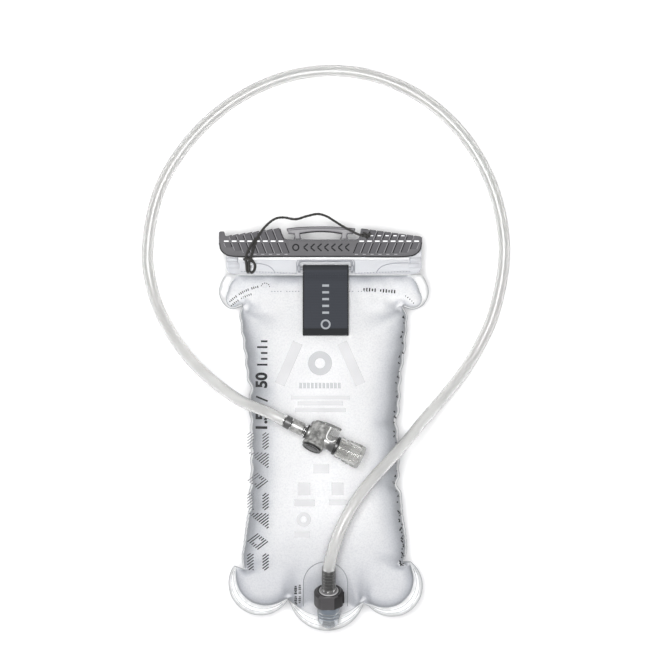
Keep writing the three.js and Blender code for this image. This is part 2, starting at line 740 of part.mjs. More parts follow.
function valveBody() {
  const barrel = turnedAlongY([
    [0, -BARREL_HALF],
    [BARREL_R - 0.5, -BARREL_HALF],
    [BARREL_R, -BARREL_HALF + 0.5],
    [BARREL_R, BARREL_HALF - 0.5],
    [BARREL_R - 0.5, BARREL_HALF],
    [0, BARREL_HALF],
  ]);
  const passage = turnedAlongX([
    [0, VALVE_BARB[0]],
    [2.9, VALVE_BARB[0]],
    ...barbProfile(VALVE_BARB[0] + 0.2, VALVE_BARB[1], 3.1, 3.9, 4),
    [3.3, VALVE_BARB[1]],
    [5.6, VALVE_BARB[1] + 0.1],
    [5.6, VALVE_BARB[1] + 1.6],
    [4.6, VALVE_BARB[1] + 1.8],
    [4.6, 0],
    [5.6, 0],
    [5.6, 11],
    [6.3, FLANGE_X[0]],
    [7.1, FLANGE_X[0] + 0.1],
    [7.1, FLANGE_X[1]],
    [4.6, FLANGE_X[1]],
    [4.6, NIPPLE_END],
    [0, NIPPLE_END],
  ]);
  const waterBore = turnedAlongX(rod(VALVE_BORE), 20);
  const spoolBore = turnedAlongY(rod(SPOOL_R + 0.1));
  const body = barrel.add(passage).subtract(spoolBore).subtract(waterBore);
  addPart(valveFrame, 'valve_body', body, barrelMaterial);
}

const SPOOL_END = 11.2;
const SPOOL_PIN_R = 3.4;
const SPOOL_CAP_R = 7.6;
const SPOOL_RINGS = [-6.3, 6.3];
const CAP_INNER = BARREL_HALF + GAP;
const CAP_OUTER = CAP_INNER + 1.5;

function valveSpool() {
  const groove = (at) => [[SPOOL_R, at - 0.6], [4.5, at - 0.6], [4.5, at + 0.6], [SPOOL_R, at + 0.6]];
  const spool = turnedAlongY([
    [0, -CAP_OUTER],
    [SPOOL_CAP_R, -CAP_OUTER],
    [SPOOL_CAP_R, -CAP_INNER],
    [SPOOL_R, -CAP_INNER],
    ...groove(SPOOL_RINGS[0]),
    ...groove(SPOOL_RINGS[1]),
    [SPOOL_R, BARREL_HALF],
    [SPOOL_PIN_R, BARREL_HALF],
    [SPOOL_PIN_R, SPOOL_END],
    [0, SPOOL_END],
  ]);
  const crossBore = turnedAlongX(rod(2.4), 20);
  addPart(valveFrame, 'valve_spool', spool.subtract(crossBore), darkMaterial);
  SPOOL_RINGS.forEach((at, i) => {
    const seal = ring(5, 0.45, 0);
    seal.rotateX(Math.PI / 2);
    seal.translate(0, at, 0);
    addPart(valveFrame, `spool_o_ring_${i + 1}`, seal, rubberMaterial);
  });
}

const PADDLE_FOOT = -2.6; // where the paddle ends along the barrel
const PADDLE_Z = [BARREL_R + 0.5, BARREL_R + 2.2];

function valveLever() {
  const cheek = new THREE.Shape();
  cheek.absarc(0, 0, 6.4, THREE.MathUtils.degToRad(115), THREE.MathUtils.degToRad(-40), false);
  cheek.lineTo(14.5, PADDLE_Z[0]);
  cheek.lineTo(14.5, PADDLE_Z[1]);
  cheek.lineTo(5.5, PADDLE_Z[1]);
  cheek.closePath();
  const pinHole = new THREE.Path();
  pinHole.absarc(0, 0, SPOOL_PIN_R + 0.5, 0, 2 * Math.PI, true);
  cheek.holes.push(pinHole);
  // The cheek's x and y become the valve's x and z, and its depth the valve's -y.
  const plate = prism(cheek, -CAP_OUTER, -CAP_INNER);
  plate.rotateX(Math.PI / 2);
  const paddle = toSolid(boxBetween([5.7, PADDLE_FOOT, PADDLE_Z[0]], [14.5, CAP_OUTER - 0.2, PADDLE_Z[1]]));
  addPart(valveFrame, 'valve_lever', toSolid(plate).add(paddle), clearMaterial);
}

function biteValve() {
  addPart(valveFrame, 'bite_retainer', turnedAlongX([
    [4.7, FLANGE_X[1] + 0.4], [6.2, FLANGE_X[1] + 0.4], [6.2, 27], [5.6, 27.6], [4.7, 27.6],
  ]), clearMaterial);
  const shell = turnedAlongX([
    [0, 18],
    [7.9, 18],
    [8.2, 18.6],
    [8.2, 21],
    [7.6, 21.6],
    [7.6, 23.4],
    [8.6, 24],
    [9.2, 35],
    [8.5, 37.8],
    [5, 38.5],
    [0, 38.5],
  ]);
  const cavity = turnedAlongX([[0, 10], [6.4, 10], [6.4, 35], [0, 36.3]]);
  const slit = toSolid(boxBetween([30, -0.3, -4.5], [40, 0.3, 4.5]));
  addPart(valveFrame, 'bite_valve', shell.subtract(cavity).subtract(slit), siliconeMaterial);
}

// ---------- drink tube ----------
// The tube leaves the port, arches over the front panel, drops off its right edge,
// lies on the surface in one wide loop and climbs over the left edge to the valve.
const TUBE_ROUTE = [
  [3.9, -107.45, 66.0],
  [4.6, -102.7, 69.1],
  [6.5, -94.8, 73.0],
  [9.5, -85.2, 75.7],
  [13.6, -75.0, 76.4],
  [19.5, -63.2, 75.6],
  [28.0, -50.0, 73.0],
  [38.6, -37.0, 68.2],
  [50.6, -24.2, 60.0],
  [62.6, -10.8, 49.5],
  [77.2, 6.5, 33.5],
  [94.7, 26.5, 17.0],
  [110.1, 46.3, 7.6],
  [122.5, 67.5, 4.7],
  [131.9, 89.9, 4.5],
  [139.6, 137.2, 4.5],
  [131.1, 184.3, 4.5],
  [107.8, 226.2, 4.5],
  [71.5, 257.9, 4.5],
  [26.0, 274.5, 4.5],
  [-22.1, 272.9, 4.5],
  [-66.1, 254.7, 4.5],
  [-101.8, 224.2, 4.5],
  [-126.9, 184.1, 4.5],
  [-136.2, 137.2, 4.5],
  [-133.9, 113.3, 4.7],
  [-126.7, 90.4, 8.6],
  [-115.4, 69.6, 17.2],
  [-100.8, 51.1, 29.5],
  [-83.6, 35.4, 43.5],
  [-64.6, 22.0, 57.6],
  [-47.6, 14.7, 68.2],
  [-38.8, 10.75, 72.2],
  [-30.6, 6.69, 72.8],
];

function routeCurve(points) {
  return new THREE.CatmullRomCurve3(points.map((p) => new THREE.Vector3(...p)));
}

function drinkTube() {
  addPart(bladder, 'drink_tube', tubeAlong(routeCurve(TUBE_ROUTE), TUBE_R, 8, 56), tubeMaterial);
}

// ---------- tether between the rail and the slide closure ----------
const TETHER_ROUTE = [
  [-56.4, 129.6, 36.6],
  [-55.6, 135.0, 37.6],
  [-54.2, 141.0, 37.6],
  [-48.8, 150.3, 37.6],
  [-42.1, 158.0, 35.4],
  [-36.3, 161.7, 31.6],
  [-30.6, 162.3, 28.6],
  [-21.6, 161.0, 27.6],
  [-12.9, 163.4, 27.4],
  [-4.4, 165.0, 28.2],
  [2.2, 163.2, 30.4],
  [8.7, 159.2, 33.6],
  [14.9, 155.3, 36.0],
  [21.4, 151.8, 37.4],
  [26.6, 149.2, 37.8],
  [30.0, 148.4, 37.8],
];

function knot(radius, length) {
  const profile = [[0, -length / 2]];
  const STEPS = 8;
  for (let i = 1; i < STEPS; i += 1) {
    const t = i / STEPS;
    const waist = 1 - 0.16 * Math.cos(4 * Math.PI * t - Math.PI);
    profile.push([radius * Math.sin(Math.PI * t) ** 0.6 * waist, mix(-length / 2, length / 2, t)]);
  }
  profile.push([0, length / 2]);
  const geometry = turned(profile, 16);
  geometry.rotateX(-Math.PI / 2);
  return geometry;
}

function tether() {
  addPart(bladder, 'tether_cord', tubeAlong(routeCurve(TETHER_ROUTE), TETHER_R, 8, 28), cordMaterial);
  const railKnot = knot(2.3, 9.4);
  railKnot.translate(EYELET[0], EYELET[1], SEAM_Z + GAP + RAIL_T + 2.9);
  addPart(bladder, 'tether_rail_knot', railKnot, cordMaterial);
  const sliderKnot = knot(1.9, 5);
  sliderKnot.rotateZ(THREE.MathUtils.degToRad(80));
  sliderKnot.translate(TETHER_HOLE[0] + 0.8, TETHER_HOLE[1], SEAM_Z + SLIDER_HALF_T + GAP + 2.1);
  addPart(bladder, 'tether_slider_knot', sliderKnot, cordMaterial);
}

// ---------- assembly ----------
panels();
portPatch();
rails();
slider();
pullHandle();
hangLoop();
portBase();
portCollar();
releaseButton();
poppetParts();
plug();
valveBody();
valveSpool();
valveLever();
biteValve();
drinkTube();
tether();

export default bladder;
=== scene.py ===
"""Looks for the hydration bladder: film, rails, slide closure, port, drink tube, valve."""
import json
import math

import bmesh
import bpy
import numpy as np
from mathutils import Matrix, Vector
from mathutils.bvhtree import BVHTree
from mathutils.geometry import delaunay_2d_cdt


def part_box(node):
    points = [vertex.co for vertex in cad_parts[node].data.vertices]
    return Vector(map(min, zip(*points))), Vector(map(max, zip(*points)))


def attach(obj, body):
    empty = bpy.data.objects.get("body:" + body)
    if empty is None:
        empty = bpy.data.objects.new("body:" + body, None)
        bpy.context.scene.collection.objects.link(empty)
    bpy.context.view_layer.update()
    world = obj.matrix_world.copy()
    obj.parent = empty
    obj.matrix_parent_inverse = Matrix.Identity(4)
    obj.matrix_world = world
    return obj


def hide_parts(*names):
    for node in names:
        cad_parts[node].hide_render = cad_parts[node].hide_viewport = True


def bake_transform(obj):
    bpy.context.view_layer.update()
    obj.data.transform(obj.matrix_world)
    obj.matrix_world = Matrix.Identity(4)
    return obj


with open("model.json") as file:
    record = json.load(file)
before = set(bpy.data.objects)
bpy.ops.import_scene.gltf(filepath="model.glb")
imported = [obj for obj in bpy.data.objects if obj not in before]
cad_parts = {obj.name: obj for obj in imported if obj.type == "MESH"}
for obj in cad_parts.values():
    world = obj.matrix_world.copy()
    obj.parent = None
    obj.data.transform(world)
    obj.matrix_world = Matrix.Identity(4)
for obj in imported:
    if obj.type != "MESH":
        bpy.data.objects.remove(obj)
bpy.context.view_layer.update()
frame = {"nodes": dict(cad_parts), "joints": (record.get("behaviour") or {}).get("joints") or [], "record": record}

MM = 0.001
RECORD = frame["record"]
MOUNTS = {mount["name"]: mount for mount in RECORD["mounts"]}
JOINTS = {joint["name"]: joint for joint in frame["joints"]}

# ---------- driving dimensions, in millimetres ----------
SEAM_Z = 29.0
FILL_FRONT = 0.56
FILL_REAR = 0.62
MOUTH_Y = 118.4
FILM_T = 0.5
WELD_LIFT = 0.35
# Half the gap between the two films, and the top of the front film, at the seam.
HALF_GAP = 0.15
WELD_TOP = SEAM_Z + HALF_GAP + FILM_T
SHOULDER_FLANGE = 6.5
WAIST_FLANGE = 1.6

RAIL_X = (-75.2, 75.4)
RAIL_TOP_Y = 143.0
RAIL_T = 2.45
BEAD = 1.6
BEAD_Y = 138.2
EYELET = (-57.0, 124.5)

SLIDER_BOTTOM_Y = 132.2
SLIDER_WAIST_Y = 145.3
SLIDER_HALF_T = 6.5
SLIDER_LEFT = -80.6
SLIDER_RIGHT = 75.7
TETHER_HOLE = (32.4, 148.4)

LOOP_X = 1.5
LOOP_WIDTH = 35.2
LOOP_STRAP = 1.2

TUBE_R = 4.4
TUBE_BORE = 3.15
TETHER_R = 1.0
BARB_END = 19.0
VALVE_BARB = (-28.0, -9.6)


# ---------- frames of the port and the valve, from the record ----------
def frame_matrix(origin_m, x_axis, z_axis):
    """Millimetres in a local frame to metres in the row's frame."""
    x, z = Vector(x_axis).normalized(), Vector(z_axis).normalized()
    y = z.cross(x)
    turn = Matrix((x, y, z)).transposed().to_4x4()
    return Matrix.Translation(Vector(origin_m)) @ turn @ Matrix.Scale(MM, 4)


SOCKET = MOUNTS["tube_socket"]
PORT = frame_matrix(SOCKET["pos_m"], (1, 0, 0), SOCKET["axis"])
SHUTOFF = JOINTS["shutoff_turn"]
VALVE_X = Vector(JOINTS["bite_pull"]["axis"])
VALVE = frame_matrix(SHUTOFF["pos_m"], VALVE_X, VALVE_X.cross(-Vector(SHUTOFF["axis"])))
ROW = Matrix.Scale(MM, 4)
# Frames whose own z axis points along the valve's x or y.
VALVE_ALONG_X = VALVE @ Matrix(((0, 0, 1, 0), (0, 1, 0, 0), (-1, 0, 0, 0), (0, 0, 0, 1)))
VALVE_ALONG_Y = VALVE @ Matrix(((1, 0, 0, 0), (0, 0, 1, 0), (0, -1, 0, 0), (0, 0, 0, 1)))


# ---------- camera ----------
def make_camera():
    """Straight above the reservoir as it lies on its back, with the slide closure up."""
    distance, frame_width, look_at, plane = 6.0, 0.5005, (0.001, 0.0795), 0.03
    data = bpy.data.cameras.new("camera")
    data.sensor_width = 36
    data.lens = data.sensor_width * (distance - plane) / frame_width
    data.clip_end = 50
    camera = bpy.data.objects.new("camera", data)
    camera.location = (*look_at, distance)
    bpy.context.collection.objects.link(camera)
    bpy.context.scene.camera = camera


make_camera()


# ---------- curves ----------
def smooth_route(points, per_span=8):
    """A centripetal Catmull-Rom curve through the points."""
    p = [np.array(q, float) for q in points]
    p = [2 * p[0] - p[1]] + p + [2 * p[-1] - p[-2]]
    route = []
    for a, b, c, d in zip(p, p[1:], p[2:], p[3:]):
        knots = [0.0]
        for u, v in ((a, b), (b, c), (c, d)):
            knots.append(knots[-1] + max(1e-6, np.linalg.norm(v - u)) ** 0.5)
        t0, t1, t2, t3 = knots
        for i in range(per_span):
            t = t1 + (t2 - t1) * i / per_span
            ab = (t1 - t) / (t1 - t0) * a + (t - t0) / (t1 - t0) * b
            bc = (t2 - t) / (t2 - t1) * b + (t - t1) / (t2 - t1) * c
            cd = (t3 - t) / (t3 - t2) * c + (t - t2) / (t3 - t2) * d
            abc = (t2 - t) / (t2 - t0) * ab + (t - t0) / (t2 - t0) * bc
            bcd = (t3 - t) / (t3 - t1) * bc + (t - t1) / (t3 - t1) * cd
            route.append((t2 - t) / (t2 - t1) * abc + (t - t1) / (t2 - t1) * bcd)
    route.append(p[-2])
    return route


def curve(points, per_span=5):
    """The smooth route as plain pairs, for an outline."""
    return [tuple(p) for p in smooth_route(points, per_span)]


def route_length(route):
    return sum(float(np.linalg.norm(np.subtract(b, a))) for a, b in zip(route, route[1:]))


def arc(cx, cy, r, start, end, steps):
    angles = [math.radians(start + (end - start) * i / steps) for i in range(steps + 1)]
    return [(cx + r * math.cos(a), cy + r * math.sin(a)) for a in angles]


def smoothstep(low, high, value):
    t = np.clip((value - low) / (high - low), 0, 1)
    return t * t * (3 - 2 * t)


# ---------- meshes ----------
def make_object(name, vertices, faces, matrix=ROW, sharp=32, closed=True):
    mesh = bpy.data.meshes.new(name)
    mesh.from_pydata([matrix @ Vector(v) for v in vertices], [], faces)
    mesh.update()
    obj = bpy.data.objects.new(name, mesh)
    bpy.context.collection.objects.link(obj)
    if closed:
        tidy_normals(obj)
    shade(obj, sharp)
    return obj


def tidy_normals(obj):
    """Welds points that coincide and turns every face outward."""
    bm = bmesh.new()
    bm.from_mesh(obj.data)
    bmesh.ops.remove_doubles(bm, verts=bm.verts, dist=1e-7)
    bmesh.ops.recalc_face_normals(bm, faces=bm.faces)
    bm.to_mesh(obj.data)
    bm.free()


def shade(obj, sharp):
    obj.data.shade_smooth()
    if sharp:
        obj.data.set_sharp_from_angle(angle=math.radians(sharp))


def lathe(name, profile, matrix, segments=64, sharp=32):
    """A body turned about the local z axis, from [radius, height] pairs."""
    vertices, faces, rings = [], [], []
    for radius, height in profile:
        if radius < 1e-6:
            rings.append([len(vertices)] * segments)
            vertices.append((0, 0, height))
            continue
        rings.append(list(range(len(vertices), len(vertices) + segments)))
        for k in range(segments):
            angle = 2 * math.pi * k / segments
            vertices.append((radius * math.cos(angle), radius * math.sin(angle), height))
    pairs = list(zip(rings, rings[1:]))
    if profile[0][0] > 1e-6 or profile[-1][0] > 1e-6:
        pairs.append((rings[-1], rings[0]))
    for low, high in pairs:
        for k in range(segments):
            n = (k + 1) % segments
            face = [low[k], low[n], high[n], high[k]]
            face = [v for i, v in enumerate(face) if v not in face[:i]]
            if len(face) > 2:
                faces.append(face)
    return make_object(name, vertices, faces, matrix, sharp)


def rod(name, radius, half, matrix, segments=32):
    """A cylinder about the local z axis, from -half to half."""
    return lathe(name, [(0, -half), (radius, -half), (radius, half), (0, half)], matrix, segments)


def rounded(profile, radius=0.25, steps=3):
    """The profile with each inner corner rounded by a short arc."""
    out = [profile[0]]
    for a, b, c in zip(profile, profile[1:], profile[2:]):
        a, b, c = Vector(a), Vector(b), Vector(c)
        back, on = a - b, c - b
        cut = min(radius, 0.45 * back.length, 0.45 * on.length)
        if cut < 0.02 or abs(back.angle(on, 0) - math.pi) < 0.05:
            out.append(tuple(b))
            continue
        start, end = b + back.normalized() * cut, b + on.normalized() * cut
        for i in range(steps + 1):
            t = i / steps
            out.append(tuple((1 - t) ** 2 * start + 2 * t * (1 - t) * b + t * t * end))
    out.append(profile[-1])
    return out


def band(name, inner, outer, low, high, slope, corner, matrix, segments=64):
    """A ring about the local z axis whose two ends slope in."""
    profile = [(inner, low), (outer, low + slope), (outer, high - slope), (inner, high)]
    return lathe(name, rounded(profile, corner), matrix, segments)


def prism(name, outline, low, high, matrix=ROW, holes=(), bevel=0.0, sharp=32, bevel_steps=3):
    """An outline in local x and y drawn from z low to z high."""
    bm = bmesh.new()
    loops = []
    for loop in (outline, *holes):
        ring = [bm.verts.new((x, y, 0)) for x, y in loop]
        loops.append(ring)
    edges = [bm.edges.new((ring[i], ring[(i + 1) % len(ring)])) for ring in loops for i in range(len(ring))]
    bmesh.ops.triangle_fill(bm, use_beauty=True, edges=edges, normal=(0, 0, 1))
    for v in bm.verts:
        v.co.z = low
    out = bmesh.ops.extrude_face_region(bm, geom=bm.faces[:])
    for v in out["geom"]:
        if isinstance(v, bmesh.types.BMVert):
            v.co.z = high
    bmesh.ops.recalc_face_normals(bm, faces=bm.faces)
    bm.transform(matrix)
    obj = object_from(name, bm)
    if bevel:
        add_bevel(obj, bevel, bevel_steps)
    shade(obj, sharp)
    return obj


def flat_bmesh(vertices, faces, height=0.0):
    bm = bmesh.new()
    points = [bm.verts.new((x, y, height)) for x, y in vertices]
    for face in faces:
        bm.faces.new([points[i] for i in face])
    return bm


def object_from(name, bm):
    """A linked object that takes over the bmesh."""
    mesh = bpy.data.meshes.new(name)
    bm.to_mesh(mesh)
    bm.free()
    obj = bpy.data.objects.new(name, mesh)
    bpy.context.collection.objects.link(obj)
    return obj


def box_object(name, low, high, matrix=ROW, bevel=0.0):
    (x0, y0, z0), (x1, y1, z1) = low, high
    return prism(name, [(x0, y0), (x1, y0), (x1, y1), (x0, y1)], z0, z1, matrix, bevel=bevel)


def apply_modifiers(obj):
    depsgraph = bpy.context.evaluated_depsgraph_get()
    mesh = bpy.data.meshes.new_from_object(obj.evaluated_get(depsgraph))
    obj.modifiers.clear()
    obj.data = mesh


def add_shell(obj, thickness):
    """Thickness in millimetres, inward from the surface."""
    shell = obj.modifiers.new("shell", "SOLIDIFY")
    shell.thickness = thickness * MM
    shell.offset = -1
    apply_modifiers(obj)


def add_bevel(obj, width, steps=3, angle=30):
    bevel = obj.modifiers.new("bevel", "BEVEL")
    bevel.width = width * MM
    bevel.segments = steps
    bevel.limit_method = "ANGLE"
    bevel.angle_limit = math.radians(angle)
    bevel.use_clamp_overlap = True
    apply_modifiers(obj)


def combine(obj, others, operation):
    """Joins or cuts obj with the others and deletes them."""
    for other in others:
        modifier = obj.modifiers.new("boolean", "BOOLEAN")
        modifier.operation = operation
        modifier.solver = "EXACT"
        modifier.object = other
        apply_modifiers(obj)
        bpy.data.objects.remove(other)
    shade(obj, 32)
    return obj


def merge(name, objects):
    """One object holding every object's mesh."""
    bm = bmesh.new()
    for obj in objects:
        bm.from_mesh(obj.data)
        bpy.data.objects.remove(obj)
    merged = object_from(name, bm)
    shade(merged, 32)
    return merged


def path_frames(route):
    """Tangent, side and up at each point, carried along without twist."""
    route = [Vector(p) for p in route]
    tangents = []
    for i in range(len(route)):
        tangents.append((route[min(i + 1, len(route) - 1)] - route[max(i - 1, 0)]).normalized())
    side = tangents[0].cross(Vector((0, 0, 1)))
    side = side.normalized() if side.length > 1e-4 else Vector((1, 0, 0))
    frames = []
    for point, tangent in zip(route, tangents):
        side = (side - tangent * side.dot(tangent)).normalized()
        frames.append((point, tangent, side, side.cross(tangent)))
    return frames


def sweep(name, route, radius, sides=16, bore=None, matrix=ROW):
    """A round tube along a route, hollow if it has a bore. radius is a number or a function of 0..1."""
    frames = path_frames(route)
    vertices, faces = [], []
    count = len(frames)

    def skin(size, inward):
        start = len(vertices)
        for i, (point, _, side, up) in enumerate(frames):
            r = size(i / (count - 1)) if callable(size) else size
            for k in range(sides):
                angle = 2 * math.pi * k / sides
                vertices.append(point + (side * math.cos(angle) + up * math.sin(angle)) * r)
        for i in range(count - 1):
            for k in range(sides):
                a, b = start + i * sides + k, start + i * sides + (k + 1) % sides
                quad = (a, b, b + sides, a + sides)
                faces.append(quad[::-1] if inward else quad)
        return start

    outer = skin(radius, False)
    last = (count - 1) * sides
    if bore is None:
        faces.append([outer + k for k in range(sides)][::-1])
        faces.append([outer + last + k for k in range(sides)])
    else:
        inner = skin(bore, True)
        for k in range(sides):
            n = (k + 1) % sides
            faces.append((outer + n, outer + k, inner + k, inner + n))
            faces.append((outer + last + k, outer + last + n, inner + last + n, inner + last + k))
    return make_object(name, vertices, faces, matrix, sharp=45)


# ---------- materials ----------
class Nodes:
    """Short names for building one material's nodes."""

    def __init__(self, name):
        self.material = bpy.data.materials.new(name)
        self.material.use_nodes = True
        self.tree = self.material.node_tree
        self.shader = self.tree.nodes["Principled BSDF"]
        coordinates = self.tree.nodes.new("ShaderNodeTexCoord")
        self.place, self.normal = coordinates.outputs["Object"], coordinates.outputs["Normal"]

    def link(self, source, target):
        self.tree.links.new(source, target)

    def node(self, kind, **values):
        node = self.tree.nodes.new(kind)
        for key, value in values.items():
            if hasattr(node, key):
                setattr(node, key, value)
            else:
                node.inputs[key.replace("_", " ")].default_value = value
        return node

    def noise(self, scale, detail=3.0, roughness=0.55, stretch=None):
        node = self.node("ShaderNodeTexNoise", Scale=scale, Detail=detail, Roughness=roughness)
        self.link(self.mapped(stretch) if stretch else self.place, node.inputs["Vector"])
        return node.outputs["Fac"]

    def wave(self, scale, direction="X", distortion=0.0, profile="SIN", detail=0.0):
        node = self.node("ShaderNodeTexWave", Scale=scale, Distortion=distortion, Detail=detail)
        node.bands_direction = direction
        node.wave_profile = profile
        self.link(self.place, node.inputs["Vector"])
        return node.outputs["Fac"]

    def mapped(self, stretch):
        node = self.node("ShaderNodeMapping")
        node.inputs["Scale"].default_value = stretch
        self.link(self.place, node.inputs["Vector"])
        return node.outputs["Vector"]

    def ramp(self, factor, stops):
        node = self.node("ShaderNodeValToRGB")
        ramp = node.color_ramp
        while len(ramp.elements) < len(stops):
            ramp.elements.new(0.5)
        for element, (position, color) in zip(ramp.elements, stops):
            element.position = position
            element.color = (*color, 1) if len(color) == 3 else color
        self.link(factor, node.inputs["Fac"])
        return node.outputs["Color"]

    def multiply(self, color, layer):
        mix = self.node("ShaderNodeMix", data_type="RGBA", blend_type="MULTIPLY")
        mix.inputs["Factor"].default_value = 1.0
        self.link(color, mix.inputs["A"])
        self.link(layer, mix.inputs["B"])
        return mix.outputs["Result"]

    def levels(self, factor, low, high):
        node = self.node("ShaderNodeMapRange")
        node.inputs["To Min"].default_value = low
        node.inputs["To Max"].default_value = high
        self.link(factor, node.inputs["Value"])
        return node.outputs["Result"]

    def bump(self, height, strength, distance, under=None):
        node = self.node("ShaderNodeBump", Strength=strength, Distance=distance)
        self.link(height, node.inputs["Height"])
        if under is not None:
            self.link(under, node.inputs["Normal"])
        return node.outputs["Normal"]

    def paint(self, factor, stops):
        """A ramp on the base color."""
        self.link(self.ramp(factor, stops), self.shader.inputs["Base Color"])

    def set(self, **values):
        for key, value in values.items():
            self.shader.inputs[key.replace("_", " ")].default_value = value


def tint(color, amount):
    """The color made lighter or darker."""
    return tuple(min(1.0, max(0.0, c * amount)) for c in color)


def plastic(name, color, roughness, grain=900, depth=0.00004, mottle=0.06, **values):
    """Moulded plastic: fine grain, faint mottling and uneven gloss."""
    n = Nodes(name)
    n.set(Roughness=roughness, **values)
    patch = n.noise(35, detail=4)
    n.paint(patch, [(0.3, tint(color, 1 - mottle)), (0.7, tint(color, 1 + mottle))])
    fine = n.noise(grain, detail=2)
    n.link(n.levels(fine, max(0.02, roughness - 0.07), min(1, roughness + 0.07)), n.shader.inputs["Roughness"])
    n.link(n.bump(fine, 0.35, depth), n.shader.inputs["Normal"])
    return n.material


def film_material():
    """Frosted polyurethane film: milky and sandy, with painted shade where it turns away towards its edges, towards its
    bottom end and under the rails.
    """
    n = Nodes("frosted_film")
    n.set(IOR=1.2, Transmission_Weight=0.5, Roughness=0.42, Specular_IOR_Level=0.4)
    cloud = n.ramp(n.noise(18, detail=4), [(0.3, (0.95, 0.95, 0.955)), (0.7, (1.0, 1.0, 1.0))])
    speck = n.ramp(n.noise(850, detail=3), [(0.32, (0.86, 0.865, 0.88)), (0.6, (1.0, 1.0, 1.0))])
    upright = n.node("ShaderNodeMath", operation="ABSOLUTE")
    split = n.node("ShaderNodeSeparateXYZ")
    n.link(n.normal, split.inputs["Vector"])
    n.link(split.outputs["Z"], upright.inputs[0])
    # Painted shade: greyer as the surface turns away from facing straight up.
    slope = n.ramp(upright.outputs[0], [
        (0.30, (0.42, 0.435, 0.46)), (0.62, (0.60, 0.615, 0.64)), (0.82, (0.82, 0.83, 0.85)), (0.93, (1.0, 1.0, 1.0)),
    ])
    place = n.node("ShaderNodeSeparateXYZ")
    n.link(n.place, place.inputs["Vector"])
    along = n.node("ShaderNodeMapRange")
    along.inputs["From Min"].default_value = -0.15
    along.inputs["From Max"].default_value = 0.12
    n.link(place.outputs["Y"], along.inputs["Value"])
    # Painted shade: greyer towards the bottom lobes and right under the rails, by height along the panel.
    painted_end_shade = n.ramp(along.outputs["Result"], [
        (0.0, (0.84, 0.845, 0.86)), (0.13, (0.86, 0.865, 0.88)), (0.33, (1.0, 1.0, 1.0)),
        (0.93, (1.0, 1.0, 1.0)), (0.975, (0.93, 0.935, 0.95)), (1.0, (0.80, 0.81, 0.83)),
    ])
    color = cloud
    for layer in (speck, slope, painted_end_shade):
        color = n.multiply(color, layer)
    n.link(color, n.shader.inputs["Base Color"])
    grain = n.noise(1500, detail=2)
    n.link(n.levels(grain, 0.36, 0.5), n.shader.inputs["Roughness"])
    soft = n.bump(n.noise(60, detail=3), 0.3, 0.0006)
    n.link(n.bump(grain, 0.5, 0.00006, under=soft), n.shader.inputs["Normal"])
    return n.material


def weld_material():
    """The welded edge: both films pressed flat, whiter, with fine parallel press lines."""
    n = Nodes("welded_film")
    n.set(IOR=1.3, Transmission_Weight=0.5, Roughness=0.3)
    cloud = n.noise(30, detail=3)
    n.paint(cloud, [(0.3, (0.88, 0.89, 0.90)), (0.7, (0.97, 0.97, 0.97))])
    n.link(n.bump(n.noise(900, detail=2), 0.4, 0.00006), n.shader.inputs["Normal"])
    return n.material


def clear_material(name, color, roughness, transmission, ior=1.45, scale=60, mottle=(0.96, 1.02)):
    """Clear or milky moulded plastic with faint flow marks."""
    n = Nodes(name)
    n.set(IOR=ior, Transmission_Weight=transmission, Roughness=roughness)
    cloud = n.noise(scale, detail=3)
    n.paint(cloud, [(0.35, tint(color, mottle[0])), (0.65, tint(color, mottle[1]))])
    n.link(n.bump(n.noise(300, detail=2), 0.2, 0.0001), n.shader.inputs["Normal"])
    return n.material


def tube_material(name, color, transmission, roughness):
    """Drink tube: clear polyurethane, a little yellow-grey, with faint flow marks along it."""
    n = Nodes(name)
    n.set(IOR=1.38, Transmission_Weight=transmission, Roughness=roughness)
    n.paint(n.noise(60, detail=3), [(0.3, tint(color, 0.96)), (0.7, tint(color, 1.03))])
    n.link(n.bump(n.noise(120, detail=1), 0.12, 0.0001), n.shader.inputs["Normal"])
    return n.material


def webbing_material():
    """Tightly woven webbing: ribs across it and fine warp threads along it, with painted shade at its fold, towards the
    bar and along its side edges.
    """
    n = Nodes("woven_webbing")
    n.set(Roughness=0.85, Sheen_Weight=0.1, Sheen_Roughness=0.5)
    ribs = n.wave(260, "Y", distortion=0.4)
    threads = n.wave(420, "X", distortion=0.6)
    weave = n.node("ShaderNodeMath", operation="MULTIPLY")
    n.link(ribs, weave.inputs[0])
    n.link(threads, weave.inputs[1])
    color = n.ramp(weave.outputs[0], [(0.05, (0.024, 0.027, 0.035)), (0.8, (0.034, 0.038, 0.048))])
    place = n.node("ShaderNodeSeparateXYZ")
    n.link(n.place, place.inputs["Vector"])
    # Painted shade: darker at the fold, towards the bar and along both side edges.
    fold, inside_edge = (0.22, 0.22, 0.22), (1.0, 1.0, 1.0)
    for axis, span, stops in (
        ("Y", (0.0729, 0.1260),
         [(0.0, fold), (0.066, fold), (0.09, inside_edge), (0.90, inside_edge), (0.94, (0.5, 0.5, 0.5))]),
        ("X", (LOOP_X * MM - 0.0176, LOOP_X * MM + 0.0176),
         [(0.0, fold), (0.02, fold), (0.035, inside_edge), (0.965, inside_edge), (0.98, fold)]),
    ):
        across = n.node("ShaderNodeMapRange")
        across.inputs["From Min"].default_value, across.inputs["From Max"].default_value = span
        n.link(place.outputs[axis], across.inputs["Value"])
        color = n.multiply(color, n.ramp(across.outputs["Result"], stops))
    n.link(color, n.shader.inputs["Base Color"])
    n.link(n.bump(weave.outputs[0], 0.25, 0.0001), n.shader.inputs["Normal"])
    return n.material


def braid_material():
    """Braided accessory cord: crossing helical strands."""
    n = Nodes("braided_cord")
    n.set(Roughness=0.5, Sheen_Weight=0.05)
    strands = n.wave(500, "DIAGONAL", distortion=1.5, detail=1.0)
    n.paint(strands, [(0.1, (0.006, 0.0055, 0.005)), (0.8, (0.036, 0.034, 0.031))])
    n.link(n.bump(strands, 0.8, 0.0003), n.shader.inputs["Normal"])
    return n.material


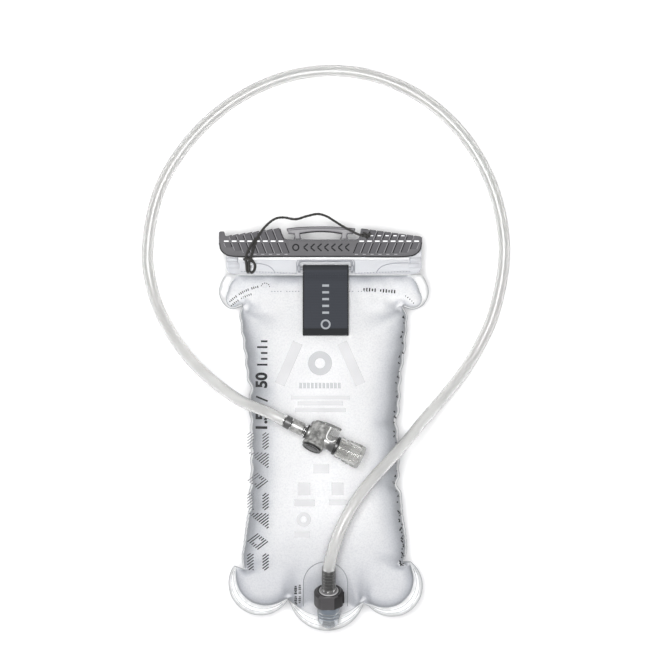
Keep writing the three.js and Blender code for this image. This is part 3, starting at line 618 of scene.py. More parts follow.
def steel_material():
    n = Nodes("drawn_steel")
    n.set(Metallic=1.0, Roughness=0.3)
    lines = n.noise(400, detail=2, stretch=(1, 1, 8))
    n.paint(lines, [(0.3, (0.55, 0.56, 0.58)), (0.7, (0.75, 0.76, 0.78))])
    n.link(n.levels(lines, 0.2, 0.42), n.shader.inputs["Roughness"])
    return n.material


FILM = film_material()
WELD = weld_material()
RAIL = clear_material("clear_rail", (0.66, 0.67, 0.70), 0.16, 0.5, ior=1.2)
# Painted highlight for the strip on the rail under the closure.
RAIL_LIP_HIGHLIGHT = clear_material("rail_lip_painted_highlight", (0.93, 0.93, 0.94), 0.12, 0.3)
TUBE = tube_material("clear_tube", (0.87, 0.87, 0.86), 0.72, 0.22)
TUBE_ON_BARB = tube_material("clear_tube_stretched", (0.86, 0.86, 0.85), 0.96, 0.03)
SOCKET_CLEAR = clear_material("smoky_socket", (0.66, 0.69, 0.72), 0.1, 0.75)
SOCKET_BAND = clear_material("socket_band", (0.20, 0.23, 0.27), 0.15, 0.3)
LEVER_CLEAR = clear_material("clear_lever", (0.90, 0.90, 0.89), 0.05, 0.9, ior=1.3)
# Painted highlight along the lever's edge.
LEVER_EDGE_HIGHLIGHT = clear_material("clear_lever_painted_highlight", (0.94, 0.94, 0.93), 0.12, 0.2)
VALVE_GREY = clear_material("smoky_valve", (0.27, 0.27, 0.262), 0.2, 0.2, ior=1.75, scale=280, mottle=(0.5, 1.5))
VALVE_SHADE = clear_material("smoky_sleeve", (0.10, 0.10, 0.10), 0.3, 0.3)
VALVE_DARK = clear_material("smoky_barb", (0.030, 0.030, 0.030), 0.25, 0.2)
SILICONE = clear_material("soft_silicone", (0.80, 0.80, 0.78), 0.07, 0.86, ior=1.22)
EDGE_GREY = clear_material("bead_edge", (0.42, 0.43, 0.45), 0.25, 0.3)
RAIL_EDGE = clear_material("rail_edge", (0.34, 0.35, 0.38), 0.2, 0.3, ior=1.2)
GREY = plastic("grey_nylon", (0.062, 0.060, 0.066), 0.45, mottle=0.2, Specular_IOR_Level=0.22)
# Painted light: a lighter copy of the closure's grey for the handle.
HANDLE_GREY_PAINTED_LIGHT = plastic("grey_nylon_handle_painted_light", (0.110, 0.106, 0.116), 0.42)
# Painted light: a lighter copy of the closure's grey for the recess floors.
PANEL_GREY_PAINTED_LIGHT = plastic("grey_nylon_recess_painted_light", (0.072, 0.070, 0.077), 0.55, Specular_IOR_Level=0.2)
# Painted highlight on the ribs.
RIB_HIGHLIGHT_GREY = plastic("grey_nylon_rib_painted_highlight", (0.26, 0.255, 0.27), 0.35)
# Dark colour for the closure's marks, and for painted shade and shadow lines.
MARK_AND_SHADE_DARK = plastic("closure_mark_and_painted_shade", (0.016, 0.016, 0.017), 0.75, Specular_IOR_Level=0.1)
DARK = plastic("dark_nylon", (0.060, 0.057, 0.060), 0.34)
# Painted shade: near-black and darker copies of the collar's colour for its right- and left-facing faces.
DARK_NYLON_RIGHT_SHADE = plastic("dark_nylon_painted_shade_right", (0.014, 0.013, 0.014), 0.4, Specular_IOR_Level=0.15)
DARK_NYLON_LEFT_SHADE = plastic("dark_nylon_painted_shade_left", (0.034, 0.032, 0.034), 0.4, Specular_IOR_Level=0.3)
# Painted highlight on the plug flange's edge.
FLANGE_RIM_HIGHLIGHT = plastic("plug_flange_painted_highlight", (0.42, 0.415, 0.42), 0.25)
SEAL = plastic("seal_rubber", (0.02, 0.02, 0.021), 0.6, grain=600)
INK = plastic("scale_ink", (0.02, 0.02, 0.022), 0.7, grain=1200)
FAINT_INK = plastic("scale_ink_faint", (0.13, 0.13, 0.14), 0.7, grain=1200)
GHOST_INK = plastic("rear_print", (0.445, 0.45, 0.462), 0.9, grain=1200, Specular_IOR_Level=0.1)
GHOST_FAINT = plastic("rear_print_faint", (0.535, 0.535, 0.545), 0.9, grain=1200, Specular_IOR_Level=0.1)
CUT_EDGE = clear_material("film_cut_edge", (0.34, 0.35, 0.37), 0.3, 0.3)
# Painted highlight on the barb's crests.
BARB_CREST_HIGHLIGHT = plastic("barb_crest_painted_highlight", (0.085, 0.085, 0.082), 0.25)
BARB_ROOT = plastic("barb_root", (0.014, 0.014, 0.014), 0.3)
FLANGE_GREY = plastic("plug_flange", (0.13, 0.125, 0.13), 0.3)
PALE_INK = plastic("pale_mark", (0.42, 0.44, 0.46), 0.7, grain=1200)
LEDGE_HIGHLIGHT_PALE = plastic("ledge_highlight", (0.80, 0.80, 0.82), 0.35)
TICK_GREY = plastic("ledge_tick", (0.24, 0.235, 0.25), 0.4)
LOOP_INK = plastic("loop_print", (0.30, 0.315, 0.335), 0.6, grain=1200)
THREAD = plastic("loop_thread", (0.04, 0.044, 0.054), 0.8, grain=1500)
WEBBING = webbing_material()
BRAID = braid_material()
STEEL = steel_material()


def finish_piece(obj, body, slot, material, *replaced):
    """Material and body of a piece, and the CAD nodes that it stands for. The slot argument is not used."""
    obj.data.materials.clear()
    obj.data.materials.append(material)
    if body:
        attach(obj, body)
    if replaced:
        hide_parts(*replaced)
    return obj


def dress_node(name, material):
    """Gives a CAD node that stays its procedural material."""
    obj = frame["nodes"][name]
    obj.data.materials.clear()
    obj.data.materials.append(material)
    shade(obj, 35)


# ---------- drink tube ----------
# The tube leaves the port, arches over the front panel, drops off its right edge,
# lies on the surface in one wide loop and climbs over the left edge to the valve.
TUBE_ROUTE = [
    (3.9, -107.45, 66.0), (4.6, -102.7, 69.1), (6.5, -94.8, 73.0), (9.5, -85.2, 75.7),
    (13.6, -75.0, 76.4), (19.5, -63.2, 75.6), (28.0, -50.0, 73.0), (38.6, -37.0, 68.2),
    (50.6, -24.2, 60.0), (62.6, -10.8, 49.5), (77.2, 6.5, 33.5), (94.7, 26.5, 17.0), (110.1, 46.3, 7.6),
    (122.5, 67.5, 4.7), (131.9, 89.9, 4.5), (139.6, 137.2, 4.5), (131.1, 184.3, 4.5),
    (107.8, 226.2, 4.5), (71.5, 257.9, 4.5), (26.0, 274.5, 4.5), (-22.1, 272.9, 4.5),
    (-66.1, 254.7, 4.5), (-101.8, 224.2, 4.5), (-126.9, 184.1, 4.5), (-136.2, 137.2, 4.5),
    (-133.9, 113.3, 4.7), (-126.7, 90.4, 8.6), (-115.4, 69.6, 17.2), (-100.8, 51.1, 29.5),
    (-83.6, 35.4, 43.5), (-64.6, 22.0, 57.6), (-47.6, 14.7, 68.2), (-38.8, 10.75, 72.2),
    (-30.6, 6.69, 72.8),
]


def in_row_mm(matrix, point):
    return tuple((matrix @ Vector(point)) / MM)


def make_tube():
    """The drink tube from inside the port's collar to the valve's neck."""
    port_end = [in_row_mm(PORT, (0, 0, s)) for s in (0.5, 5, 10, 15)]
    valve_end = [in_row_mm(VALVE, (x, 0, 0)) for x in (-24, -19, -14, -9.9)]
    route = port_end + smooth_route(TUBE_ROUTE, 9) + valve_end
    length = route_length(route)
    barb_stretch = BARB_END / length

    def outer(t):
        """Stretched over the barbs, most of all over the port's larger one."""
        swell = 0.7 if t < 0.5 else 0.18
        over_barb = swell * (1 - float(smoothstep(0.9 * barb_stretch, 1.3 * barb_stretch, min(t, 1 - t))))
        return TUBE_R + over_barb + 0.35 * (1 - float(smoothstep(0.04, 0.16, t)))

    tube = sweep("drink_tube_clear", route, outer, sides=28, bore=TUBE_BORE)
    return tube, route, length


def clear_over_barbs(tube, ends):
    """The tube is stretched and clearer where it is pushed over a barb."""
    tube.data.materials.append(TUBE_ON_BARB)
    for polygon in tube.data.polygons:
        centre = polygon.center / MM
        if any((centre - Vector(a)).dot(Vector(b) - Vector(a)) < (Vector(b) - Vector(a)).length_squared
               and (centre - Vector(a)).length < 30 for a, b in ends):
            polygon.material_index = 1


tube, tube_path, tube_length = make_tube()
finish_piece(tube, "hose", "tube", TUBE, "drink_tube")
clear_over_barbs(tube, [
    (tube_path[0], in_row_mm(PORT, (0, 0, BARB_END + 1.5))),
    (tube_path[-1], in_row_mm(VALVE, (VALVE_BARB[0] - 1.0, 0, 0))),
])

# ---------- tether ----------
TETHER_ROUTE = [
    (-56.4, 129.6, 36.6), (-54.9, 135.0, 37.6), (-53.2, 141.0, 37.6), (-48.8, 150.3, 37.6),
    (-42.1, 158.0, 35.4), (-36.3, 161.7, 31.6), (-30.6, 162.3, 28.6), (-21.6, 161.0, 27.6),
    (-12.9, 163.4, 27.4), (-4.4, 165.0, 28.2), (2.2, 163.2, 30.4), (8.7, 159.2, 33.6),
    (14.9, 155.3, 36.0), (21.4, 151.8, 37.4), (26.6, 149.2, 37.8), (30.0, 148.4, 37.8),
]


def make_tether():
    route = smooth_route(TETHER_ROUTE, 8)

    def braided(t):
        return TETHER_R * (0.93 + 0.07 * math.sin(t * len(route) * 1.9))

    return sweep("tether_braid", route, braided, sides=12), route


tether, tether_path = make_tether()
finish_piece(tether, None, "cord", BRAID, "tether_cord")
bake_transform(tether)


# ---------- the reservoir's outline ----------
# Each lobe is a clockwise arc: centre, radius, first and last angle, widest flange.
LOBES = [
    (52.5, -121.5, 23.3, 52, -143, 8.0),
    (2.5, -126.5, 29.1, -16, -164, 10.0),
    (-48.6, -119.4, 24.3, -30, -217, 7.7),
]
RIGHT_SHOULDER = [(75.2, 118.4), (78.6, 112.5), (80.5, 105), (78.4, 98), (74.6, 93.9), (68.4, 91.9), (60.6, 94.0)]
RIGHT_SIDE = [
    (60.6, 94.0), (64, 87), (63.4, 74.8), (62.2, 58.7), (60.2, 47), (58.7, 32.5), (58.0, 14.8), (55.8, 4.0),
    (57.7, -4.5), (57.5, -22), (58, -35.5), (56.4, -43.2), (59.2, -50), (60.8, -66.8), (62.5, -78),
    (63.7, -92), (61.5, -104.5),
]
LEFT_SIDE = [
    (-61.4, -109), (-62.8, -99), (-61.5, -90.7), (-58.4, -66.8), (-56.2, -59.1), (-57.1, -51), (-56.2, -41.4),
    (-56.0, -20), (-56.1, 0.9), (-56.9, 24), (-56.0, 30.5), (-58.6, 39), (-60.1, 54.4), (-63.2, 76.4),
    (-64.4, 87.9), (-62.4, 94.4),
]
LEFT_SHOULDER = [(-62.4, 94.4), (-71.2, 92.4), (-77.0, 96.5), (-80.2, 104.5), (-78.6, 112.5), (-75.0, 118.4)]


def resample(points, spacing):
    """The same path with evenly spaced points, first and last kept."""
    points = np.array(points, float)
    steps = np.linalg.norm(np.diff(points, axis=0), axis=1)
    along = np.concatenate([[0], np.cumsum(steps)])
    count = max(2, int(round(along[-1] / spacing)) + 1)
    wanted = np.linspace(0, along[-1], count)
    return np.column_stack([np.interp(wanted, along, points[:, k]) for k in range(points.shape[1])])


def right_of(along):
    """A unit vector to the right of each direction."""
    along = along / np.linalg.norm(along, axis=1)[:, None]
    return np.column_stack([along[:, 1], -along[:, 0]])


def around(loop):
    """The direction at each point of a closed loop."""
    return np.roll(loop, -1, axis=0) - np.roll(loop, 1, axis=0)


def flange_path(path, width_at):
    """Each point moved to the right of the path, which is inward on this clockwise outline."""
    path = np.array(path, float)
    inward = right_of(np.gradient(path, axis=0))
    widths = np.array([width_at(i / (len(path) - 1), p) for i, p in enumerate(path)])
    return path + inward * widths[:, None]


def scalloped(points, outward):
    """A side edge with shallow scallops above the waist and finer ripples below it."""
    path = resample(smooth_route(points), 0.8)
    y = path[:, 1]
    ends = smoothstep(-104, -96, y) * (1 - smoothstep(80, 90, y))
    scallops = 0.55 * np.cos(2 * math.pi * y / 12.5) * smoothstep(-58, -48, y)
    ripples = 0.3 * np.cos(2 * math.pi * y / 4.6) * (1 - smoothstep(-62, -54, y))
    path[:, 0] += outward * ends * (scallops + ripples)
    return path


def outline_and_weld():
    """The film's cut edge and the weld's inner edge, both clockwise from the mouth's left end."""
    spacing = 1.7
    edge, weld = [], []

    def add(path, width_at):
        path = resample(path, spacing)
        edge.extend(path[:-1])
        weld.extend(flange_path(path, width_at)[:-1])

    def shoulder(_, p):
        return 0.9 + (SHOULDER_FLANGE - 0.4) * float(smoothstep(91, 107, p[1]))

    def side(t, _):
        return 0.9 + (WAIST_FLANGE - 0.9) * math.sin(math.pi * t)

    mouth = resample([(-75.0, MOUTH_Y), (75.2, MOUTH_Y)], spacing)
    edge.extend(mouth[:-1])
    for x, y in mouth[:-1]:
        weld.append((x * 0.895, y - 0.5))
    add(smooth_route(RIGHT_SHOULDER), shoulder)
    add(scalloped(RIGHT_SIDE, 1), side)
    for x, y, r, start, end, widest in LOBES:
        add(arc(x, y, r, start, end, 40), lambda t, _, w=widest: 0.8 + w * math.sin(math.pi * t) ** 0.7)
    add(scalloped(LEFT_SIDE, -1), side)
    add(smooth_route(LEFT_SHOULDER), shoulder)
    return np.array(edge), np.array(weld)


def inside(points, loop):
    """For each point, whether it lies inside the closed loop."""
    x, y = points[:, 0:1], points[:, 1:2]
    a, b = loop, np.roll(loop, -1, axis=0)
    spans = (a[:, 1] > y) != (b[:, 1] > y)
    rise = np.where(b[:, 1] == a[:, 1], 1e-9, b[:, 1] - a[:, 1])
    cross_x = a[:, 0] + (y - a[:, 1]) / rise * (b[:, 0] - a[:, 0])
    return (spans & (x < cross_x)).sum(axis=1) % 2 == 1


def distance_to(points, loop):
    """Distance of each point from the closed loop."""
    nearest = np.full(len(points), 1e9)
    for a, b in zip(loop, np.roll(loop, -1, axis=0)):
        run = b - a
        t = np.clip(((points - a) @ run) / max(1e-9, run @ run), 0, 1)
        nearest = np.minimum(nearest, np.linalg.norm(points - (a + t[:, None] * run), axis=1))
    return nearest


EDGE, WELD_LINE = outline_and_weld()


def film_mesh():
    """A fine triangulation of the film, lined up with its cut edge and its weld."""
    pitch = 2.4
    grid = []
    for j, y in enumerate(np.arange(-156, MOUTH_Y, pitch * 0.87)):
        for x in np.arange(-82, 83, pitch):
            grid.append((x + (pitch / 2 if j % 2 else 0), y))
    grid = np.array(grid)
    away = distance_to(grid, WELD_LINE)
    inner = grid[inside(grid, WELD_LINE) & (away > 3.4)]
    flange = grid[inside(grid, EDGE) & ~inside(grid, WELD_LINE) & (away > 1.6)]
    flange = flange[distance_to(flange, EDGE) > 1.6]
    inward = right_of(around(WELD_LINE))
    rings = []
    for step in (0.35, 0.9, 1.7, 2.7):
        ring = WELD_LINE + inward * step
        keep = inside(ring, WELD_LINE) & (distance_to(ring, WELD_LINE) > 0.85 * step)
        rings.append(ring[keep])
    points = np.vstack([EDGE, WELD_LINE, *rings, inner, flange])
    m, n = len(EDGE), len(WELD_LINE)
    constraints = [(i, (i + 1) % m) for i in range(m)] + [(m + i, m + (i + 1) % n) for i in range(n)]
    vertices, _, faces, *_ = delaunay_2d_cdt([Vector(p) for p in points], constraints, [], 1, 1e-4)
    flat = np.array([tuple(v) for v in vertices])
    faces = np.array([f[::-1] if turns_clockwise(flat, f) else f for f in faces])
    return flat, faces


def turns_clockwise(flat, face):
    a, b, c = (flat[k] for k in face[:3])
    return (b[0] - a[0]) * (c[1] - a[1]) - (b[1] - a[1]) * (c[0] - a[0]) < 0


FLAT, FACES = film_mesh()
WELD_DISTANCE = np.where(inside(FLAT, WELD_LINE), distance_to(FLAT, WELD_LINE), 0.0)


def solve_membrane():
    """Pressed out by an even load and held at the weld: the curvature is the same all over."""
    corners = FLAT[FACES]
    count = len(FLAT)
    rows, columns, weights = [], [], []
    for k in range(3):
        a, b, c = corners[:, k], corners[:, (k + 1) % 3], corners[:, (k + 2) % 3]
        u, v = b - a, c - a
        cross = np.abs(u[:, 0] * v[:, 1] - u[:, 1] * v[:, 0])
        half_cot = np.einsum("ij,ij->i", u, v) / np.maximum(cross, 1e-6) / 2
        i, j = FACES[:, (k + 1) % 3], FACES[:, (k + 2) % 3]
        rows += [i, j]
        columns += [j, i]
        weights += [half_cot, half_cot]
    rows, columns, weights = (np.concatenate(part) for part in (rows, columns, weights))
    diagonal = np.bincount(rows, weights, count)
    u, v = corners[:, 1] - corners[:, 0], corners[:, 2] - corners[:, 0]
    area = np.abs(u[:, 0] * v[:, 1] - u[:, 1] * v[:, 0]) / 6
    load = np.bincount(FACES.ravel(), np.repeat(area, 3), count)
    free = WELD_DISTANCE > 1e-3
    level = np.zeros(count)

    def stiffness(values):
        return (diagonal * values - np.bincount(rows, weights * values[columns], count)) * free

    residual = load * free
    scale = np.where(free, 1 / np.maximum(diagonal, 1e-9), 0)
    step = scale * residual
    energy = residual @ step
    for _ in range(900):
        push = stiffness(step)
        amount = energy / (step @ push)
        level += amount * step
        residual -= amount * push
        preconditioned = scale * residual
        renewed = residual @ preconditioned
        if renewed < 1e-9:
            break
        step = preconditioned + renewed / energy * step
        energy = renewed
    return np.maximum(level, 0)


MEMBRANE = solve_membrane()
PORT_X, PORT_Y, PORT_Z = (c / MM for c in SOCKET["pos_m"])
PORT_SLOPE = SOCKET["axis"][2] / SOCKET["axis"][1]
BED_DROP = 17.9

# Puckers that run in from the weld: start, direction in degrees, length, half width, depth.
CREASES = [
    (-56.0, 30.5, -6, 20, 3.2, 2.4), (-56.2, -59.1, 8, 18, 3.0, 2.2), (-61.5, -78, 4, 10, 2.2, 0.9),
    (-56.0, 4, 2, 9, 2.4, 0.8), (-61, 62, -8, 10, 2.6, 0.9), (-56.4, -24, 0, 8, 2.0, 0.6),
    (55.6, 4.0, 178, 20, 3.2, 2.4), (56.2, -43.2, 176, 18, 3.0, 2.2), (60.6, 48, 186, 12, 2.6, 1.1),
    (62.5, -76, 176, 10, 2.4, 0.9), (58.2, -20, 180, 8, 2.2, 0.6), (63.4, 72, 188, 9, 2.4, 0.7),
    (-62.6, 94.0, -22, 34, 5.0, 4.2), (-62.6, 94.0, 20, 26, 4.2, 2.6),
    (60.6, 94.0, 200, 34, 5.0, 4.2), (60.6, 94.0, 160, 26, 4.2, 2.6),
    (-27, -131.5, 84, 30, 5.0, 3.6), (-27, -131.5, 60, 18, 3.4, 1.6), (-27, -131.5, 112, 18, 3.4, 1.6),
    (31.5, -133.5, 96, 30, 5.0, 3.6), (31.5, -133.5, 68, 18, 3.4, 1.6), (31.5, -133.5, 120, 18, 3.4, 1.6),
    (-61, -108, 14, 26, 4.4, 3.2), (-61, -108, -20, 16, 3.2, 1.4),
    (61.5, -105, 168, 26, 4.4, 3.2), (61.5, -105, 204, 16, 3.2, 1.4),
]
# Shallow puckers in the valley of every scallop, left and right.
for step in range(-4, 7):
    valley = 12.5 * step + 6.25
    CREASES += [(-56.6, valley, -3 * step, 9, 1.7, 0.75), (57.6, valley - 3, 180 + 3 * step, 9, 1.7, 0.75)]


def crease_depth(flat):
    """How far the puckers pull the film back towards the weld plane."""
    depth = np.zeros(len(flat))
    for x, y, degrees, length, half, deep in CREASES:
        angle = math.radians(degrees)
        offset = flat - (x, y)
        along = offset @ (math.cos(angle), math.sin(angle))
        beside = offset @ (-math.sin(angle), math.cos(angle))
        widened = half * (0.5 + np.clip(along / length, 0, 1))
        fade = np.exp(-(beside / widened) ** 2) * (1 - smoothstep(0, length, along)) * smoothstep(-3, 0, along)
        depth += deep * fade
    return depth


def gathers(flat):
    """Fine ripples that run down from the mouth, where the full width is gathered into the rails."""
    x, y = flat[:, 0], flat[:, 1]
    near = smoothstep(84, 117, y) * (1 - smoothstep(116.5, 118.2, y))
    return near * (0.45 * np.sin(x * 0.21 + 0.8) + 0.3 * np.sin(x * 0.47 + y * 0.05))


def taper(y):
    bottom = 0.54 + 0.46 * smoothstep(-140, -70, y)
    mouth = 0.45 + 0.55 * (1 - smoothstep(55, MOUTH_Y, y))
    return bottom * mouth


def soft_min(a, b, blend):
    h = np.clip(0.5 + 0.5 * (b - a) / blend, 0, 1)
    return b * (1 - h) + a * h - blend * h * (1 - h)


def front_rise():
    """Height of the front panel over the weld, pressed flat under the port."""
    x, y = FLAT[:, 0], FLAT[:, 1]
    dome = FILL_FRONT * np.sqrt(2 * MEMBRANE) * taper(y)
    beside = np.maximum(0, np.abs(x - PORT_X) - 12)
    bed = PORT_Z + (y - PORT_Y) * PORT_SLOPE - BED_DROP - SEAM_Z + 0.03 * beside ** 2
    inward = smoothstep(0, 7, WELD_DISTANCE)
    rise = dome + inward * (0.7 + gathers(FLAT)) - crease_depth(FLAT) * smoothstep(0, 3, WELD_DISTANCE)
    rise = np.where(dome > 0, np.maximum(rise, 0.25 * dome), 0)
    return np.where(WELD_DISTANCE > 0, np.maximum(0, soft_min(rise, np.maximum(bed, 0.4) + 0.7 * inward, 1.5)), 0)


def rear_drop():
    """Depth of the rear panel under the weld, flattened where it lies on the floor."""
    dome = FILL_REAR * np.sqrt(2 * MEMBRANE) * taper(FLAT[:, 1])
    pulled = crease_depth(FLAT) * 0.8 * smoothstep(0, 3, WELD_DISTANCE)
    drop = np.maximum(dome + 0.7 * smoothstep(0, 7, WELD_DISTANCE) - pulled, 0.25 * dome)
    floor = SEAM_Z - WELD_LIFT - FILM_T / 2 - 0.1
    return np.where(dome > 0, np.maximum(0, soft_min(drop, np.full_like(drop, floor), 3.0)), 0)


FRONT_Z = WELD_TOP + front_rise()
REAR_Z = SEAM_Z - HALF_GAP - FILM_T - rear_drop()
FRONT_TREE = BVHTree.FromPolygons([(*p, z) for p, z in zip(FLAT, FRONT_Z)], FACES.tolist())


def film_z(x, y):
    hit = FRONT_TREE.ray_cast(Vector((x, y, 300)), Vector((0, 0, -1)))[0]
    return hit.z if hit else WELD_TOP


def panel(name, heights, up):
    """One film panel as a thin closed shell, with its welded margin in a second material."""
    faces = FACES if up else FACES[:, ::-1]
    obj = make_object(name, np.column_stack([FLAT, heights]), faces.tolist(), sharp=0, closed=False)
    obj.data.materials.append(FILM)
    obj.data.materials.append(WELD)
    welded = {i for i, d in enumerate(WELD_DISTANCE) if d < 1e-3}
    for polygon, face in zip(obj.data.polygons, faces):
        polygon.material_index = int(all(int(v) in welded for v in face))
    add_shell(obj, FILM_T)
    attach(obj, "reservoir")
    return obj


front_panel = panel("front_film", FRONT_Z, True)
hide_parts("front_panel")
rear_panel = panel("rear_film", REAR_Z, False)
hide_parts("rear_panel")


# ---------- what lies on the film: press lines, patch and print ----------
def weld_lines():
    """Thin raised lines that the weld's press leaves along the flange."""
    gap = np.linalg.norm(EDGE - WELD_LINE, axis=1)
    runs = []
    for fraction, widest in ((0.0, 0.0), (0.36, 3.2), (0.7, 3.2)):
        line = WELD_LINE + (EDGE - WELD_LINE) * fraction
        keep = gap > widest
        keep &= EDGE[:, 1] < MOUTH_Y - 1
        if fraction:
            keep &= EDGE[:, 1] < 90
        run = []
        for point, kept in zip(line, keep):
            if kept:
                run.append((*point, WELD_TOP))
                continue
            if len(run) > 5:
                runs.append(run)
            run = []
        if len(run) > 5:
            runs.append(run)
    threads = [sweep(f"weld_line_{i}", run, 0.2, sides=6) for i, run in enumerate(runs)]
    obj = merge("weld_press_lines", threads)
    finish_piece(obj, "reservoir", "film", EDGE_GREY)
    middle = EDGE.mean(axis=0)
    rim = EDGE[EDGE[:, 1] < MOUTH_Y - 0.5]
    rim = rim + 0.15 * (middle - rim) / np.linalg.norm(middle - rim, axis=1)[:, None]
    edge = sweep("film_cut_edge", [(x, y, SEAM_Z) for x, y in rim], 0.42, sides=8)
    finish_piece(edge, "reservoir", "film", CUT_EDGE)


weld_lines()


def drape(name, vertices, faces, lift, thickness, longest=1.8):
    """A flat shape laid on the front film as a thin closed sheet."""
    bm = flat_bmesh(vertices, faces)
    bmesh.ops.triangulate(bm, faces=bm.faces[:])
    for _ in range(5):
        long_edges = [e for e in bm.edges if e.calc_length() > longest]
        if not long_edges:
            break
        bmesh.ops.subdivide_edges(bm, edges=long_edges, cuts=1)
        bmesh.ops.triangulate(bm, faces=bm.faces[:])
    for v in bm.verts:
        v.co.z = film_z(v.co.x, v.co.y) + lift
    bmesh.ops.recalc_face_normals(bm, faces=bm.faces)
    if sum(f.normal.z for f in bm.faces) < 0:
        bmesh.ops.reverse_faces(bm, faces=bm.faces)
    bm.transform(ROW)
    obj = object_from(name, bm)
    add_shell(obj, thickness)
    shade(obj, 40)
    return obj


def lettering(text, size, weight=0.0):
    """Outlines of plain numbers as flat vertices and faces."""
    curve = bpy.data.curves.new("lettering", "FONT")
    curve.body = text
    curve.size = size
    curve.offset = weight
    curve.align_x = "CENTER"
    curve.align_y = "CENTER"
    curve.resolution_u = 4
    obj = bpy.data.objects.new("lettering", curve)
    bpy.context.collection.objects.link(obj)
    mesh = bpy.data.meshes.new_from_object(obj.evaluated_get(bpy.context.evaluated_depsgraph_get()))
    vertices = [(v.co.x, v.co.y) for v in mesh.vertices]
    faces = [tuple(p.vertices) for p in mesh.polygons]
    bpy.data.objects.remove(obj)
    return vertices, faces


def placed(shape, x, y, degrees):
    vertices, faces = shape
    c, s = math.cos(math.radians(degrees)), math.sin(math.radians(degrees))
    return [(x + c * u - s * v, y + s * u + c * v) for u, v in vertices], faces


def stroke(a, b, width):
    """A straight stroke as one quad."""
    a, b = Vector(a), Vector(b)
    side = (b - a).orthogonal().normalized() * width / 2
    return [tuple(a - side), tuple(b - side), tuple(b + side), tuple(a + side)], [(0, 1, 2, 3)]


def ring_outline(outer, inner, steps=28):
    """A flat ring as quads."""
    points, faces = [], []
    for k in range(steps):
        t = 2 * math.pi * k / steps
        points += [(outer * math.cos(t), outer * math.sin(t)), (inner * math.cos(t), inner * math.sin(t))]
    for k in range(steps):
        a, b = 2 * k, 2 * ((k + 1) % steps)
        faces.append((a, b, b + 1, a + 1))
    return points, faces


def gather(shapes):
    """Several flat shapes as one list of vertices and faces."""
    vertices, faces = [], []
    for points, polygons in shapes:
        start = len(vertices)
        vertices += points
        faces += [tuple(start + i for i in polygon) for polygon in polygons]
    return vertices, faces


# The hatched figures up the left side, as shapes in a cell 1 wide and 1 high.
def diamond_shape(u, v):
    return 0.2 < abs(u - 0.5) + abs(v - 0.5) < 0.5


def rails_shape(u, v):
    return v < 0.3 or v > 0.7


def wedge_shape(u, v):
    return v < u


FIGURES = [rails_shape, diamond_shape, wedge_shape, rails_shape, diamond_shape, wedge_shape, rails_shape]


def hatched_figures():
    """Plain geometric figures filled with slanted strokes, bolder towards the bottom and the right."""
    strong, faint = [], []
    low, pitch, tall, left, wide = -109.0, 15.5, 13.0, -58.9, 16.8
    lean = Vector((1.0, 0.78)).normalized()
    for cell, shape in enumerate(FIGURES):
        y0 = low + cell * pitch
        for k in range(-8, 15):
            start = Vector((left - 10, y0 - 4 + k * 2.35))
            run = []
            for step in range(160):
                p = start + lean * (step * 0.25)
                u, v = (p.y - y0) / tall, 1 - (p.x - left) / wide
                if 0 <= u <= 1 and 0 <= v <= 1 and shape(u, v):
                    run.append(p)
                    continue
                if len(run) > 3:
                    fade = 0.5 * (1 - cell / (len(FIGURES) - 1)) + 0.5 * (run[0].x - left) / wide
                    target = strong if fade > 0.3 else faint
                    target.append(stroke(run[0], run[-1], 0.55 + 0.4 * fade))
                run = []
    return strong, faint


def arc_marks(points, step, length, width):
    """Plain ticks of uneven height along a curve, where the real thing has small print."""
    route = resample(smooth_route(points), step)
    marks = []
    for i, (a, b) in enumerate(zip(route, route[1:])):
        if i % 7 == 5:
            continue
        ahead = Vector(b - a).normalized()
        across = Vector((-ahead.y, ahead.x))
        middle = Vector(a)
        tall = length * (1.0 if i % 3 else 0.7)
        marks.append(stroke(middle - across * tall / 2, middle + across * tall / 2, width))
    return marks


def right_edge_marks():
    """Small uneven print right on the right edge, closer together towards the bottom."""
    marks = []
    y, i = 86.0, 0
    while y > -104:
        edge = np.interp(y, EDGE_BY_HEIGHT[:, 1], EDGE_BY_HEIGHT[:, 0])
        x = edge - 3.0 + 0.8 * math.sin(i * 1.7)
        length = (2.6, 1.2, 1.7, 1.1, 2.2)[i % 5]
        marks.append(stroke((x, y), (x + length * 0.6, y - 0.7 * length), 1.0))
        if i % 3 == 0:
            marks.append(stroke((x - 0.4, y - 1.0), (x + 0.6, y + 0.7), 0.7))
        step = (4.6, 6.8, 3.9)[i % 3]
        y -= step if y > -58 else 0.42 * step
        i += 1
    marks.append(stroke((58.8, -105.0), (62.0, -104.6), 1.8))
    return marks


EDGE_BY_HEIGHT = np.array(sorted(RIGHT_SIDE, key=lambda p: p[1]))


